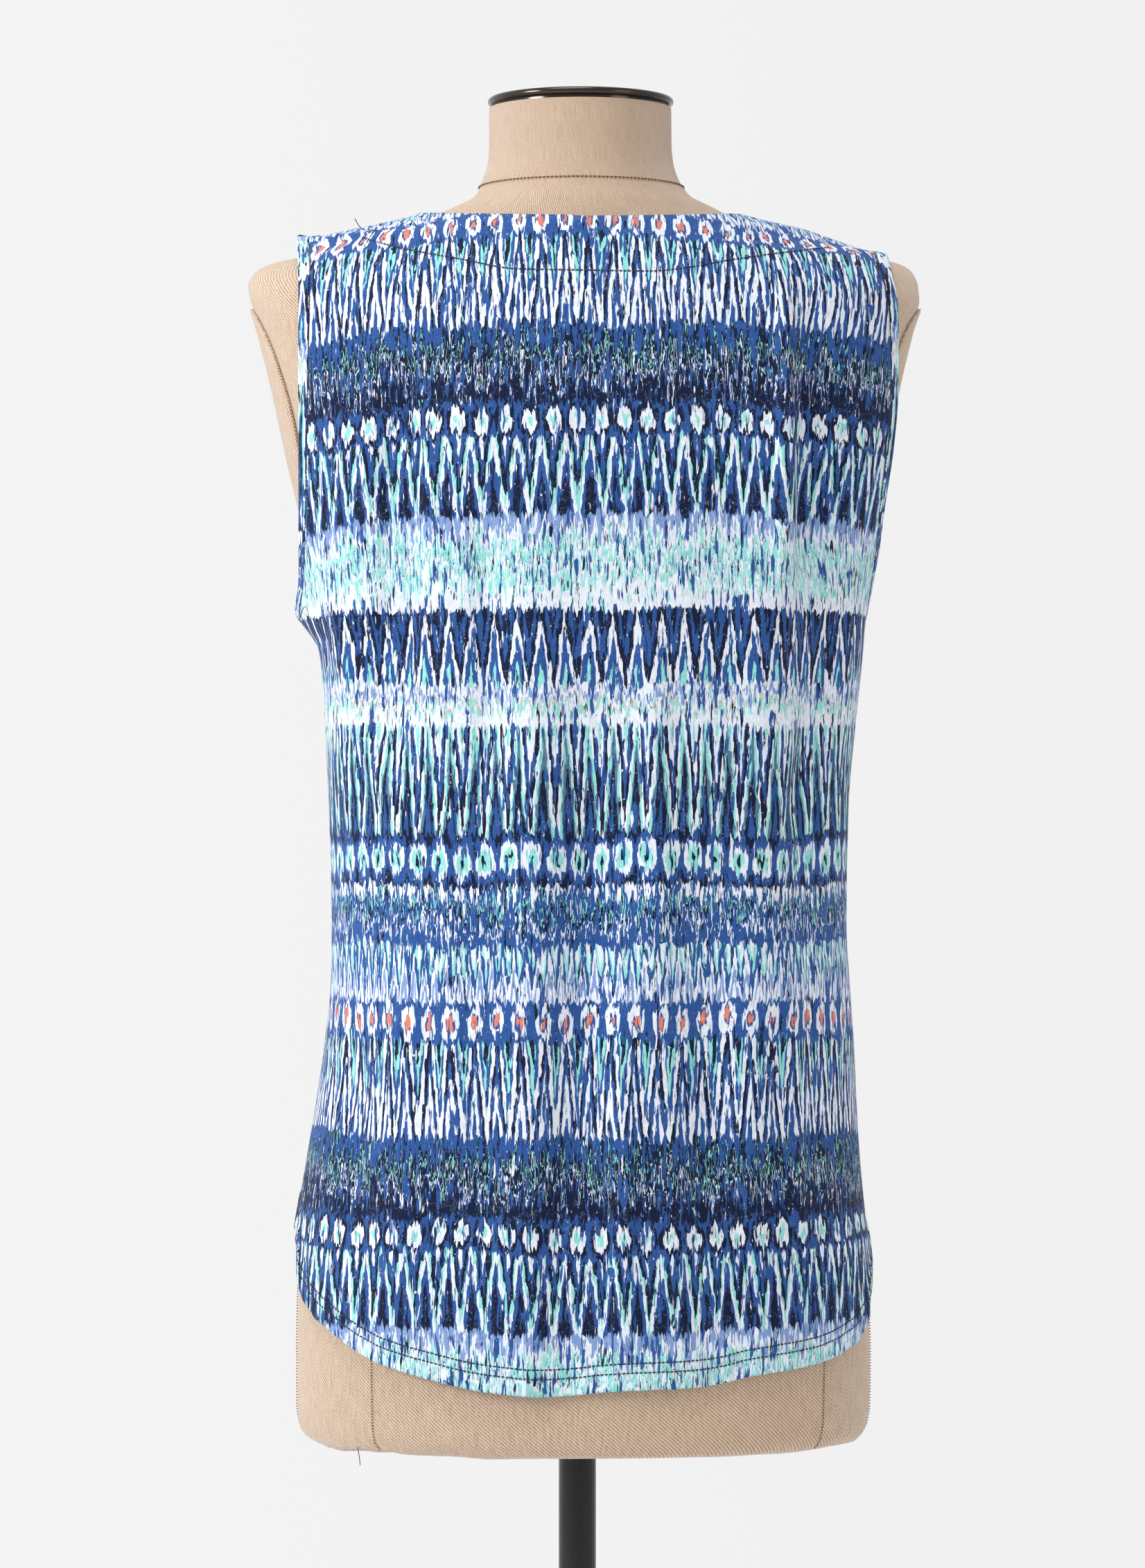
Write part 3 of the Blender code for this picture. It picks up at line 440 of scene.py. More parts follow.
# The armholes as seen from behind: how far beside the middle their edges are, by height
Cut = namedtuple("Cut", "z left right")
CUTS = [
    Cut(1.1700, 0.1628, 0.1680),
    Cut(1.1760, 0.1633, 0.1688),
    Cut(1.2040, 0.1630, 0.1733),
    Cut(1.2280, 0.1627, 0.1760),
    Cut(1.2620, 0.1625, 0.1808),
    Cut(1.2950, 0.1625, 0.1834),
    Cut(1.3360, 0.1627, 0.1836),
    Cut(1.3510, 0.1630, 0.1825),
    Cut(1.3610, 0.1636, 0.1810),
    Cut(1.3690, 0.1644, 0.1799),
    Cut(1.3780, 0.1656, 0.1797),
    Cut(1.3864, 0.1664, 0.1797),
]
OPENING_SAMPLES = 160
END_CROWDING = 0.5
YOKE_MIDDLE = 0.5  # above this share of an armhole a panel is laid out over the shoulder
AXIS_Z = 1.240
OPENING_Z = 1.280  # about the middle of an armhole
SHOULDER_Z = 1.362  # above this height the cloth's sections close in over the shoulders
TURN_STEP, RISE_STEP, SHARE_STEP = 0.004, 0.0008, 0.02  # between the places that a slope is worked out from

# The cloth stands out under the left arm
FLARE_OUT = 0.0048
FLARE_Z = 1.168
FLARE_HEIGHT = 0.014
FLARE_REACH = 0.14

# Soft vertical folds: places beside the middle at the top and foot, heights, half-width, depth (+ is a ridge)
Fold = namedtuple("Fold", "face x_top x_foot z_top z_foot half_width depth")
FOLDS = [
    Fold("back", -0.106, -0.116, 1.320, 1.040, 0.022, -0.0050),
    Fold("back", -0.131, -0.131, 1.300, 1.020, 0.020, 0.0030),
    Fold("back", 0.012, -0.006, 1.160, 0.640, 0.030, -0.0060),
    Fold("back", -0.024, -0.036, 1.260, 0.640, 0.026, 0.0035),
    Fold("back", 0.110, 0.104, 1.360, 0.780, 0.026, 0.0045),
    Fold("back", 0.138, 0.130, 1.340, 0.930, 0.022, -0.0045),
    Fold("back", -0.098, -0.104, 1.020, 0.700, 0.026, 0.0035),
    Fold("back", 0.064, 0.086, 1.040, 0.640, 0.026, -0.0045),
    Fold("front", -0.062, -0.078, 1.180, 0.640, 0.030, 0.0050),
    Fold("front", 0.070, 0.062, 1.180, 0.640, 0.034, 0.0055),
    Fold("front", 0.006, -0.010, 1.080, 0.640, 0.040, -0.0070),
    Fold("front", 0.118, 0.124, 1.240, 0.900, 0.024, -0.0045),
    Fold("front", -0.116, -0.122, 1.220, 0.840, 0.024, -0.0040),
    Fold("front", -0.030, -0.034, 1.120, 0.800, 0.022, 0.0025),
]
FOLD_FADE = 0.3  # share of a fold's length over which each end dies away

# Narrower creases, which the solids leave out
CREASES = [
    Fold("back", -0.094, -0.100, 1.330, 1.080, 0.010, -0.0044),
    Fold("back", -0.120, -0.117, 1.310, 1.120, 0.009, 0.0027),
    Fold("back", 0.117, 0.113, 1.372, 1.150, 0.009, 0.0044),
    Fold("back", 0.130, 0.127, 1.365, 1.150, 0.010, -0.0050),
    Fold("back", -0.055, -0.052, 1.260, 1.030, 0.015, -0.0030),
    Fold("back", -0.078, -0.070, 1.080, 0.800, 0.013, 0.0029),
    Fold("back", -0.148, -0.094, 1.190, 1.000, 0.012, 0.0030),
    Fold("back", 0.156, 0.112, 1.190, 1.010, 0.013, -0.0030),
    Fold("back", 0.040, 0.046, 1.180, 0.930, 0.014, 0.0029),
    Fold("back", 0.020, 0.024, 0.980, 0.740, 0.012, 0.0027),
    Fold("back", -0.130, -0.128, 0.960, 0.760, 0.012, -0.0029),
    Fold("back", 0.118, 0.124, 0.990, 0.780, 0.012, 0.0030),
    Fold("back", -0.010, -0.016, 1.340, 1.230, 0.018, 0.0021),
    Fold("front", -0.092, -0.101, 1.290, 1.110, 0.011, -0.0030),
    Fold("front", 0.098, 0.090, 1.270, 1.050, 0.010, 0.0032),
    Fold("front", 0.024, 0.032, 1.120, 0.860, 0.013, 0.0027),
    Fold("front", -0.046, -0.040, 1.060, 0.790, 0.014, -0.0029),
    Fold("front", -0.150, -0.100, 1.185, 1.020, 0.012, 0.0033),
    Fold("front", 0.154, 0.100, 1.190, 1.000, 0.012, 0.0029),
    Fold("front", 0.142, 0.138, 1.010, 0.790, 0.012, -0.0027),
    Fold("front", -0.134, -0.140, 0.980, 0.790, 0.011, 0.0030),
    Fold("front", 0.052, 0.050, 0.930, 0.740, 0.012, -0.0025),
]


def blend(a, b, share):
    return a + (b - a) * share


def ease(value, low, high):
    """0 below low, 1 above high, with a smooth step between."""
    k = min(max((value - low) / (high - low), 0.0), 1.0)
    return k * k * (3.0 - 2.0 * k)


class Curve:
    """Smooth values read from a short table, by the number in its first column."""

    def __init__(self, table):
        self.kind = type(table[0])
        self.rows = np.array(table)
        self.step = np.diff(self.rows, axis=0)
        slope = self.step / self.step[:, :1]
        product = slope[:-1] * slope[1:]
        total = np.where(product > 0, slope[:-1] + slope[1:], 1.0)
        inner = np.where(product > 0, 2.0 * product / total, 0.0)
        self.tangent = np.vstack([slope[:1], inner, slope[-1:]])
        self.known = {}

    def at(self, key):
        """The row at key, without overshoot between the table's rows."""
        if key not in self.known:
            self.known[key] = self.read(key)
        return self.known[key]

    def read(self, key):
        rows, tangent = self.rows, self.tangent
        key = min(max(key, rows[0, 0]), rows[-1, 0])
        i = min(int(np.searchsorted(rows[:, 0], key, side="right")) - 1, len(rows) - 2)
        h = self.step[i, 0]
        k = (key - rows[i, 0]) / h
        value = (
            rows[i] * (1 - k) ** 2 * (1 + 2 * k)
            + rows[i + 1] * k * k * (3 - 2 * k)
            + tangent[i] * h * k * (1 - k) ** 2
            - tangent[i + 1] * h * k * k * (1 - k)
        )
        return self.kind(*value)


FORM = Curve(FORM_SECTIONS)
CLOTH = Curve(CLOTH_SECTIONS)
HEM_LINE = Curve(HEM)
CUT_LINE = Curve(CUTS)
FACING = Curve(FACING_LINE)


@lru_cache(maxsize=None)
def quarter(half_width, depth, squareness):
    """One quarter of a section from its middle (0, depth) to its side, with the arc length so far."""
    angle = np.linspace(0.0, pi / 2, QUARTER_SAMPLES)
    x = half_width * np.sin(angle) ** (2.0 / squareness)
    y = depth * np.cos(angle) ** (2.0 / squareness)
    length = np.concatenate([[0.0], np.cumsum(np.hypot(np.diff(x), np.diff(y)))])
    return x, y, length / length[-1]


def split_turn(turn):
    """A place round the body: 0 is mid back, 1 the right side, 2 mid front; negative goes round the left."""
    side = 1 if turn >= 0 else -1
    front = abs(turn) > 1.0
    return side, front, 2.0 - abs(turn) if front else abs(turn)


def round_point(body, z, turn):
    """The point (x, y) at a height and a place round the body, with the outward normal there."""
    s = body.at(z)
    side, front, share = split_turn(turn)
    half = s.right if side > 0 else s.left
    depth = s.front if front else s.back
    xs, ys, arc = quarter(half, depth, s.squareness)
    x, y = np.interp(share, arc, xs), np.interp(share, arc, ys)
    nx = (x / half) ** (s.squareness - 1.0) / half
    ny = (y / depth) ** (s.squareness - 1.0) / depth
    size = np.hypot(nx, ny)
    facing = 1 if front else -1
    return side * x, facing * y, side * nx / size, facing * ny / size


def turn_at_x(body, z, x, front):
    """The place round the body, at height z, that lies x beside the middle."""
    s = body.at(z)
    half = s.right if x >= 0 else s.left
    xs, _, arc = quarter(half, s.front if front else s.back, s.squareness)
    share = np.interp(abs(x), xs, arc)
    turn = 2.0 - share if front else share
    return turn if x >= 0 else -turn


def turn_at_y(body, z, y, side):
    """The place round the body, at height z and on one side, that lies y before or behind the seam."""
    s = body.at(z)
    half = s.right if side > 0 else s.left
    _, ys, arc = quarter(half, s.front if y > 0 else s.back, s.squareness)
    share = np.interp(-abs(y), -ys, arc)
    turn = 2.0 - share if y > 0 else share
    return side * turn


def half_width(z, side):
    s = CLOTH.at(z)
    return s.right if side > 0 else s.left


def search(low, high, above):
    """The value between low and high at which above(value) turns false."""
    for _ in range(HALVINGS):
        middle = (low + high) / 2
        low, high = (middle, high) if above(middle) else (low, middle)
    return low


@lru_cache(maxsize=None)
def shoulder_height(x, side):
    """The height at which the cloth's shoulder line is x beside the middle."""
    return search(SHOULDER_Z, CLOTH_SECTIONS[-1].z, lambda z: half_width(z, side) > x)


def fold_depth(x, z, front):
    """How far the cloth stands out (or in) at a place, from all the folds that pass it."""
    total = 0.0
    for fold in FOLDS + CREASES:
        if (fold.face == "front") != front:
            continue
        k = (fold.z_top - z) / (fold.z_top - fold.z_foot)
        if not 0.0 < k < 1.0:
            continue
        away = (x - blend(fold.x_top, fold.x_foot, k)) / fold.half_width
        if abs(away) < 1.0:
            fade = ease(k, 0.0, FOLD_FADE) * ease(1.0 - k, 0.0, FOLD_FADE)
            total += fold.depth * fade * cos(away * pi / 2) ** 2
    return total


def clear_of_form(x, y, z):
    """Moves a point of the cloth's inner face straight out until it clears the padded body."""
    s = FORM.at(z)
    half = s.right if x >= 0 else s.left
    depth = s.front if y > 0 else s.back
    n = s.squareness
    level = (abs(x / half) ** n + abs(y / depth) ** n) ** (1.0 / n)
    least = 1.0 + CLOTH_CLEAR / min(half, depth)
    grow = max(1.0, least / level)
    return x * grow, y * grow


def cloth_point(z, turn):
    """A point of the cloth's inner face."""
    x, y, nx, ny = round_point(CLOTH, z, turn)
    side, front, _ = split_turn(turn)
    out = fold_depth(x, z, front)
    if side < 0:
        near = ((abs(turn) - 1.0) / FLARE_REACH) ** 2 + ((z - FLARE_Z) / FLARE_HEIGHT) ** 2
        out += FLARE_OUT * np.exp(-near)
    x, y = clear_of_form(x + nx * out, y + ny * out, z)
    return np.array([BODY_X + x, y, z])


def outward(z, turn):
    """The cloth's outward normal at a place."""
    along = np.subtract(cloth_point(z, turn + TURN_STEP), cloth_point(z, turn - TURN_STEP))
    up = np.subtract(cloth_point(z + RISE_STEP, turn), cloth_point(z - RISE_STEP, turn))
    normal = np.cross(along, up)
    return normal / np.linalg.norm(normal)


def stations(count):
    """Shares of an armhole's length from underarm to shoulder, closer together at both ends."""
    even = np.linspace(0.0, 1.0, count + 1)
    return even - END_CROWDING * np.sin(2 * pi * even) / (2 * pi)


def surface_point(z, turn):
    """A point of the cloth's inner face without its folds."""
    x, y, _, _ = round_point(CLOTH, z, turn)
    return np.array([x, y, z])


@lru_cache(maxsize=None)
def opening(side):
    """Shares of an armhole's length, 0 to 1 up the back and 1 to 2 down the front, and their places."""
    foot = CUTS[0].z

    def edge_x(z):
        cut = CUT_LINE.at(z)
        return cut.right if side > 0 else cut.left

    top = search(SHOULDER_Z, CLOTH_SECTIONS[-1].z, lambda z: half_width(z, side) > edge_x(z))
    heights = blend(foot, top, (1.0 - np.cos(np.linspace(0.0, pi, OPENING_SAMPLES))) / 2)
    halves = []
    for front in (False, True):
        turns = [turn_at_x(CLOTH, z, side * edge_x(z), front) for z in heights]
        turns[0] = turns[-1] = float(side)
        points = np.array([surface_point(z, turn) for z, turn in zip(heights, turns)])
        arc = np.concatenate([[0.0], np.cumsum(np.linalg.norm(np.diff(points, axis=0), axis=1))])
        halves.append((arc / arc[-1], heights, np.array(turns)))
    back, ahead = halves
    shares = np.concatenate([back[0], 2.0 - ahead[0][-2::-1]])
    heights, turns = (np.concatenate([back[i], ahead[i][-2::-1]]) for i in (1, 2))
    return shares, heights, turns


def armhole_place(side, share):
    shares, heights, turns = opening(side)
    return np.interp(share % 2.0, shares, heights), np.interp(share % 2.0, shares, turns)


@lru_cache(maxsize=None)
def armhole_edge(side, share, inset):
    """A place in the cloth that lies inset from the armhole's edge, measured along the surface."""
    z, turn = armhole_place(side, share)
    if inset == 0.0:
        return z, turn
    here = surface_point(z, turn)
    ahead, behind = (surface_point(*armhole_place(side, share + step)) for step in (SHARE_STEP, -SHARE_STEP))
    rise, swing = slopes(z, turn)
    away = np.cross(np.cross(rise, swing), ahead - behind)
    away *= np.sign(away.dot(here - surface_point(OPENING_Z, side)))
    target = here + away / np.linalg.norm(away) * inset
    for _ in range(INSET_ROUNDS):
        rise, swing = slopes(z, turn)
        step = np.linalg.lstsq(np.array([rise, swing]).T, target - surface_point(z, turn), rcond=None)[0]
        z, turn = z + step[0], turn + step[1]
    return z, turn


def slopes(z, turn):
    """How the surface moves for each metre of height and each whole turn."""
    rise = surface_point(z + RISE_STEP, turn) - surface_point(z - RISE_STEP, turn)
    swing = surface_point(z, turn + TURN_STEP) - surface_point(z, turn - TURN_STEP)
    return rise / (2 * RISE_STEP), swing / (2 * TURN_STEP)


def as_back(turn, front):
    """A place on the front counted as the like place on the back, so that both panels are laid out alike."""
    side = 1 if turn >= 0 else -1
    return side * (2.0 - abs(turn)) if front else turn


def neckline(share, front):
    """A place on the neckline: share runs from -1 at the left corner through 0 in the middle to 1."""
    corner = shoulder_height(NECK_CORNER_X, 1 if share >= 0 else -1)
    x = NECK_CORNER_X * sin(share * pi / 2)
    inward = abs(x) / NECK_CORNER_X
    if front:
        z = corner - FRONT_NECK_DROP * (1.0 - inward**FRONT_NECK_ROUND)
    else:
        behind = round_point(CLOTH, corner, turn_at_x(CLOTH, corner, x, False))[1]
        z = corner + BACK_NECK_SLOPE * behind
    return z, as_back(turn_at_x(CLOTH, z, x, front), front)


@lru_cache(maxsize=None)
def top_edge(u, front):
    """A place on a panel's upper edge: left shoulder, neckline, right shoulder, as u goes from -1 to 1."""
    side = 1 if u >= 0 else -1
    tip_x = half_width(edge_place(side, 1.0, front)[0], side)
    if abs(u) <= NECK_SHARE:
        return neckline(u / NECK_SHARE, front)
    x = blend(NECK_CORNER_X, tip_x, (abs(u) - NECK_SHARE) / (1.0 - NECK_SHARE))
    return shoulder_height(x, side), float(side)


def edge_place(side, share, front):
    """The panel's own edge beside a binding."""
    z, turn = armhole_edge(side, 2.0 - share if front else share, BAND_WIDTH + BAND_GAP)
    return np.array([z, as_back(turn, front)])


def underarm_height(u):
    """The height of a panel's row that runs from underarm to underarm."""
    return blend(edge_place(-1, 0.0, False)[0], edge_place(1, 0.0, False)[0], (u + 1.0) / 2)


def patch(u, k, left, right, foot, top):
    """A place inside four edges: left and right at height k, foot and top functions of u."""
    share = (u + 1.0) / 2
    inner = blend(foot(u), top(u), k)
    return (
        inner
        + (1.0 - share) * (left - blend(foot(-1.0), top(-1.0), k))
        + share * (right - blend(foot(1.0), top(1.0), k))
    )


def over_shoulder(place, front):
    """A place as its distance beside the middle and its angle round an axis low in the shoulders."""
    z, turn = place
    x, y, _, _ = round_point(CLOTH, z, as_back(turn, front))
    return np.array([x, np.arctan2(z - AXIS_Z, abs(y))])


def from_shoulder(x, angle, front):
    """The place that over_shoulder gives these for."""
    low, high = AXIS_Z, shoulder_height(abs(x), 1 if x >= 0 else -1)
    for _ in range(HALVINGS):
        z = (low + high) / 2
        s = CLOTH.at(z)
        ratio = min(abs(x) / (s.right if x >= 0 else s.left), 1.0)
        y = (s.front if front else s.back) * (1.0 - ratio**s.squareness) ** (1.0 / s.squareness)
        low, high = (z, high) if np.arctan2(z - AXIS_Z, y) < angle else (low, z)
    return z, as_back(turn_at_x(CLOTH, z, x, front), front)


def panel_place(u, share, front):
    """The place, counted as on the back, for column u at a share of the armhole's length."""
    left, right = (edge_place(side, share, front) for side in (-1, 1))
    left_mid, right_mid = (edge_place(side, YOKE_MIDDLE, front) for side in (-1, 1))

    def middle(place):
        return blend(left_mid, right_mid, (place + 1.0) / 2)

    if share <= YOKE_MIDDLE:
        foot_z = underarm_height(-1.0)
        k = (left[0] - foot_z) / (left_mid[0] - foot_z)
        return patch(u, k, left, right, lambda place: np.array([underarm_height(place), place]), middle)
    left, right, foot = (over_shoulder(place, front) for place in (left, right, left_mid))
    x, angle = patch(
        u,
        (left[1] - foot[1]) / (pi / 2 - foot[1]),
        left,
        right,
        lambda place: over_shoulder(middle(place), front),
        lambda place: over_shoulder(top_edge(place, front), front),
    )
    return from_shoulder(x, angle, front)


def seam_turn(turn, front):
    """Draws a panel's edge back from the side and shoulder seams by half the gap there."""
    limit = 1.0 - SEAM_GAP / 2 / QUARTER_LENGTH
    turn = max(min(turn, limit), -limit)
    side = 1 if turn >= 0 else -1
    return side * (2.0 - abs(turn)) if front else turn


def hem_height(u, front):
    row = HEM_LINE.at(u)
    return row.front if front else row.back


def hem_relief(above, turn):
    """How far the turned-up hem stands out, drawn in along its two rows of stitches and slightly puckered."""
    if above > 2 * HEM_TURN:
        return 0.0
    out = HEM_OUT * (1.0 - ease(above, HEM_STEP_FOOT, HEM_STEP_TOP))
    for row in HEM_ROWS:
        out -= HEM_DRAW * np.exp(-(((above - row) / HEM_ROW_WIDTH) ** 2))
    pucker = noise.noise(Vector((turn * PUCKERS, above * PUCKERS_UP, PUCKER_SEED)))
    return out + HEM_PUCKER * pucker * (1.0 - ease(above, 0.0, 2 * HEM_TURN))


def worn_point(z, turn, above, lift):
    """A point of the jersey, lifted off its inner face; above is its height over the hem's edge."""
    return cloth_point(z, turn) + outward(z, turn) * (CLOTH_LIFT + lift + hem_relief(above, turn))


def new_object(bm, name, material, sharp=40.0):
    """Turns a bmesh into a smooth-shaded object that rides on the stand."""
    mesh = bpy.data.meshes.new(name)
    bm.to_mesh(mesh)
    bm.free()
    mesh.shade_smooth()
    mesh.set_sharp_from_angle(angle=np.radians(sharp))
    mesh.materials.append(material)
    obj = bpy.data.objects.new(name, mesh)
    bpy.context.scene.collection.objects.link(obj)
    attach(obj, "root")
    return obj


def sheet_mesh(columns, rows):
    """A flat grid whose vertices carry their column and row, and its map for the print."""
    bm = bmesh.new()
    bm.loops.layers.uv.new("flat_cloth")
    bmesh.ops.create_grid(bm, x_segments=columns, y_segments=rows, size=0.5)
    places = {}
    for vert in bm.verts:
        places[vert] = round((vert.co.x + 0.5) * columns), round((vert.co.y + 0.5) * rows)
    return bm, places


def lay_out(bm, places, points, flat):
    """Moves a grid's vertices to their points and writes their places in the flat cloth to its map."""
    layer = bm.loops.layers.uv.active
    for face in bm.faces:
        for loop in face.loops:
            column, row = places[loop.vert]
            loop[layer].uv = flat[row][column]
    for vert, (column, row) in places.items():
        vert.co = points[row][column]


def flatten(points, heights):
    """Where rows of points lie in the flat cloth: across from the middle of the body, up from the lowest."""
    beside = np.linalg.norm(np.diff(points, axis=1), axis=2)
    climb = np.linalg.norm(np.diff(points, axis=0), axis=2)
    up = np.tile(heights, (len(points), 1))
    for _ in range(FLATTEN_ROUNDS):
        level = np.sqrt(np.maximum(beside**2 - np.diff(up, axis=1) ** 2, 0.0))
        across = np.pad(np.cumsum(level, axis=1), ((0, 0), (1, 0)))
        across -= [[np.interp(0.0, row[:, 0], places)] for row, places in zip(points, across)]
        rise = np.sqrt(np.maximum(climb**2 - np.diff(across, axis=0) ** 2, 0.0))
        up = heights + np.pad(np.cumsum(rise, axis=0), ((1, 0), (0, 0)))
    return np.dstack([across, up])


def panel_rows(front):
    """One panel's fine grid, from the hem up: rows of height, place round the body, height over the hem."""
    places = np.linspace(-1.0, 1.0, PANEL_COLUMNS + 1)
    knots = places[::COLUMN_SKIP]
    hem = [hem_height(u, front) for u in places]
    rows = []
    for above in np.linspace(0.0, HEM_STEP_TOP, HEM_STEPS + 1):
        rows.append([(low + above, u, above) for low, u in zip(hem, places)])
    for k in np.linspace(0.0, 1.0, TAIL_STEPS + 1)[1:]:
        row = []
        for low, u in zip(hem, places):
            z = blend(low + HEM_STEP_TOP, underarm_height(u), k)
            row.append((z, u, z - low))
        rows.append(row)
    for share in stations(YOKE_STEPS)[1:]:
        heights, turns = np.transpose([panel_place(u, share, front) for u in knots])
        heights, turns = (np.interp(places, knots, values) for values in (heights, turns))
        rows.append([(z, turn, 1.0) for z, turn in zip(heights, turns)])
    return [[(z, seam_turn(turn, front), above) for z, turn, above in row] for row in rows]


def make_panel(name, node, front, material):
    """One side of the top: a thin sheet on the solid's form, with its pattern piece as its map."""
    rows = panel_rows(front)
    base = np.array([[cloth_point(z, turn) for z, turn, _ in row] for row in rows])
    relief = np.array([[CLOTH_LIFT + hem_relief(above, turn) for _, turn, above in row] for row in rows])
    normal = np.cross(np.gradient(base, axis=1), np.gradient(base, axis=0))
    normal *= (-1 if front else 1) / np.linalg.norm(normal, axis=2, keepdims=True)
    points = base + normal * relief[:, :, None]
    flat = flatten(points, np.array([place[0] for place in rows[0]]))
    bm, places = sheet_mesh(PANEL_COLUMNS, len(rows) - 1)
    lay_out(bm, places, points, flat)
    if front:
        bmesh.ops.reverse_faces(bm, faces=bm.faces)
    obj = new_object(bm, name, material)
    wall = obj.modifiers.new("jersey", "SOLIDIFY")
    wall.thickness = JERSEY
    wall.offset = 1.0
    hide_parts(node)
    return obj


def make_binding(side, name, node, material):
    """The strip round an armhole: folded over a rounded edge and sewn down flat along the panels."""
    up = list(stations(BAND_STEPS // 2))
    shares = up + [2.0 - share for share in up[-2:0:-1]] + [0.0]
    edge = np.array([armhole_edge(side, share, 0.0) for share in shares])
    inner = np.array([armhole_edge(side, share, BAND_WIDTH) for share in shares])
    curl = (BAND_CURL if side < 0 else 0.0) * np.exp(-(((np.array(shares) - 1.0) / BAND_CURL_REACH) ** 2))
    points = []
    for inset, height in BAND_SECTION + BAND_SECTION[:1]:
        places = blend(edge, inner, inset)
        base = np.array([cloth_point(*place) for place in places])
        normal = np.array([outward(*place) for place in places])
        stand = blend(CLOTH_LIFT, BAND_WALL, height) + (1.0 - inset) * curl
        points.append(base + normal * np.reshape(stand, (-1, 1)))
    points = np.array(points)
    along = np.concatenate([[0.0], np.cumsum(np.linalg.norm(np.diff(points[0], axis=0), axis=1))])
    width = np.concatenate([[0.0], np.cumsum(np.linalg.norm(np.diff(points[:, 0], axis=0), axis=1))])
    flat = [[(out, length) for length in along] for out in width]
    bm, places = sheet_mesh(len(shares) - 1, len(points) - 1)
    lay_out(bm, places, points, flat)
    bmesh.ops.remove_doubles(bm, verts=bm.verts, dist=MERGE)
    bmesh.ops.recalc_face_normals(bm, faces=bm.faces)
    obj = new_object(bm, name, material, sharp=80.0)
    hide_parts(node)
    return obj, along[-1]


def body_point(z, turn, out=0.0):
    """A point of the linen body, its lower edge drawn into small gathers."""
    x, y, nx, ny = round_point(FORM, z, turn)
    foot = 1.0 - ease(z, FORM_SECTIONS[0].z + GATHER_LOW, FORM_SECTIONS[0].z + GATHER_HIGH)
    gather = abs(sin(turn * pi * GATHERS)) * noise.noise(Vector((turn * GATHER_SPREAD, GATHER_SEED, 0.0)))
    slack = SLACK * noise.noise(Vector((x, y, z)) * Vector(SLACK_GRAIN))
    out += GATHER_DEPTH * gather * foot + slack
    return np.array([BODY_X + x + nx * out, y + ny * out, z + GATHER_RISE * gather * foot])


def make_body(material):
    """The padded body under its linen cover."""
    table = [section.z for section in FORM_SECTIONS]
    heights = np.interp(np.linspace(0, len(table) - 1, FORM_STEPS + 1), range(len(table)), table)
    turns = np.linspace(-2.0, 2.0, FORM_COLUMNS + 1)
    points = np.array([[body_point(z, turn) for turn in turns] for z in heights])
    flat = [[(turn * QUARTER_LENGTH, z) for turn in turns] for z in heights]
    bm, places = sheet_mesh(FORM_COLUMNS, FORM_STEPS)
    lay_out(bm, places, points, flat)
    bmesh.ops.remove_doubles(bm, verts=bm.verts, dist=MERGE)
    bmesh.ops.holes_fill(bm, edges=bm.edges, sides=0)
    bmesh.ops.recalc_face_normals(bm, faces=bm.faces)
    obj = new_object(bm, "linen_body", material)
    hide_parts("dress_form_body")
    return obj


def plate_point(side, angle, share, out):
    z = PLATE_Z + PLATE_HALF_HEIGHT * share * cos(angle)
    y = PLATE_HALF_DEPTH * share * sin(angle)
    turn = turn_at_y(FORM, z, y, side)
    x, y, nx, ny = round_point(FORM, z, turn)
    return np.array([BODY_X + x + nx * out, y + ny * out, z])


def make_plate(side, name, node, material):
    """A covered plate over the end of a shoulder, rounded over at its edge."""
    angles = np.linspace(0.0, 2 * pi, PLATE_STEPS + 1)
    rows = [(share, PLATE_GAP + height * PLATE_WALL) for share, height in PLATE_SECTION]
    points = [[plate_point(side, a, share, out) for a in angles] for share, out in rows]
    flat = []
    for share, _ in rows:
        aside, up = PLATE_HALF_DEPTH * share, PLATE_HALF_HEIGHT * share
        flat.append([(aside * sin(a), PLATE_Z + up * cos(a)) for a in angles])
    bm, places = sheet_mesh(PLATE_STEPS, len(rows) - 1)
    lay_out(bm, places, points, flat)
    bmesh.ops.remove_doubles(bm, verts=bm.verts, dist=MERGE)
    bmesh.ops.recalc_face_normals(bm, faces=bm.faces)
    obj = new_object(bm, name, material, sharp=60.0)
    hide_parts(node)


def make_turned(name, node, profile, center_x, material):
    """A piece turned about an upright axis from a profile that runs down its outer side."""
    bm = bmesh.new()
    verts = [bm.verts.new((radius, 0.0, z)) for radius, z in profile]
    edges = [bm.edges.new(pair) for pair in zip(verts, verts[1:])]
    bmesh.ops.spin(
        bm,
        geom=verts + edges,
        cent=(0, 0, 0),
        axis=(0, 0, 1),
        angle=2 * pi,
        steps=TURNED_STEPS,
        use_merge=True,
    )
    bmesh.ops.remove_doubles(bm, verts=bm.verts, dist=MERGE)
    bmesh.ops.recalc_face_normals(bm, faces=bm.faces)
    bmesh.ops.translate(bm, verts=bm.verts, vec=(center_x, 0.0, 0.0))
    obj = new_object(bm, name, material, sharp=30.0)
    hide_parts(node)


def arc(center_r, center_z, radius, start, end, steps):
    angles = np.radians(np.linspace(start, end, steps))
    return [(center_r + radius * cos(angle), center_z + radius * sin(angle)) for angle in angles]


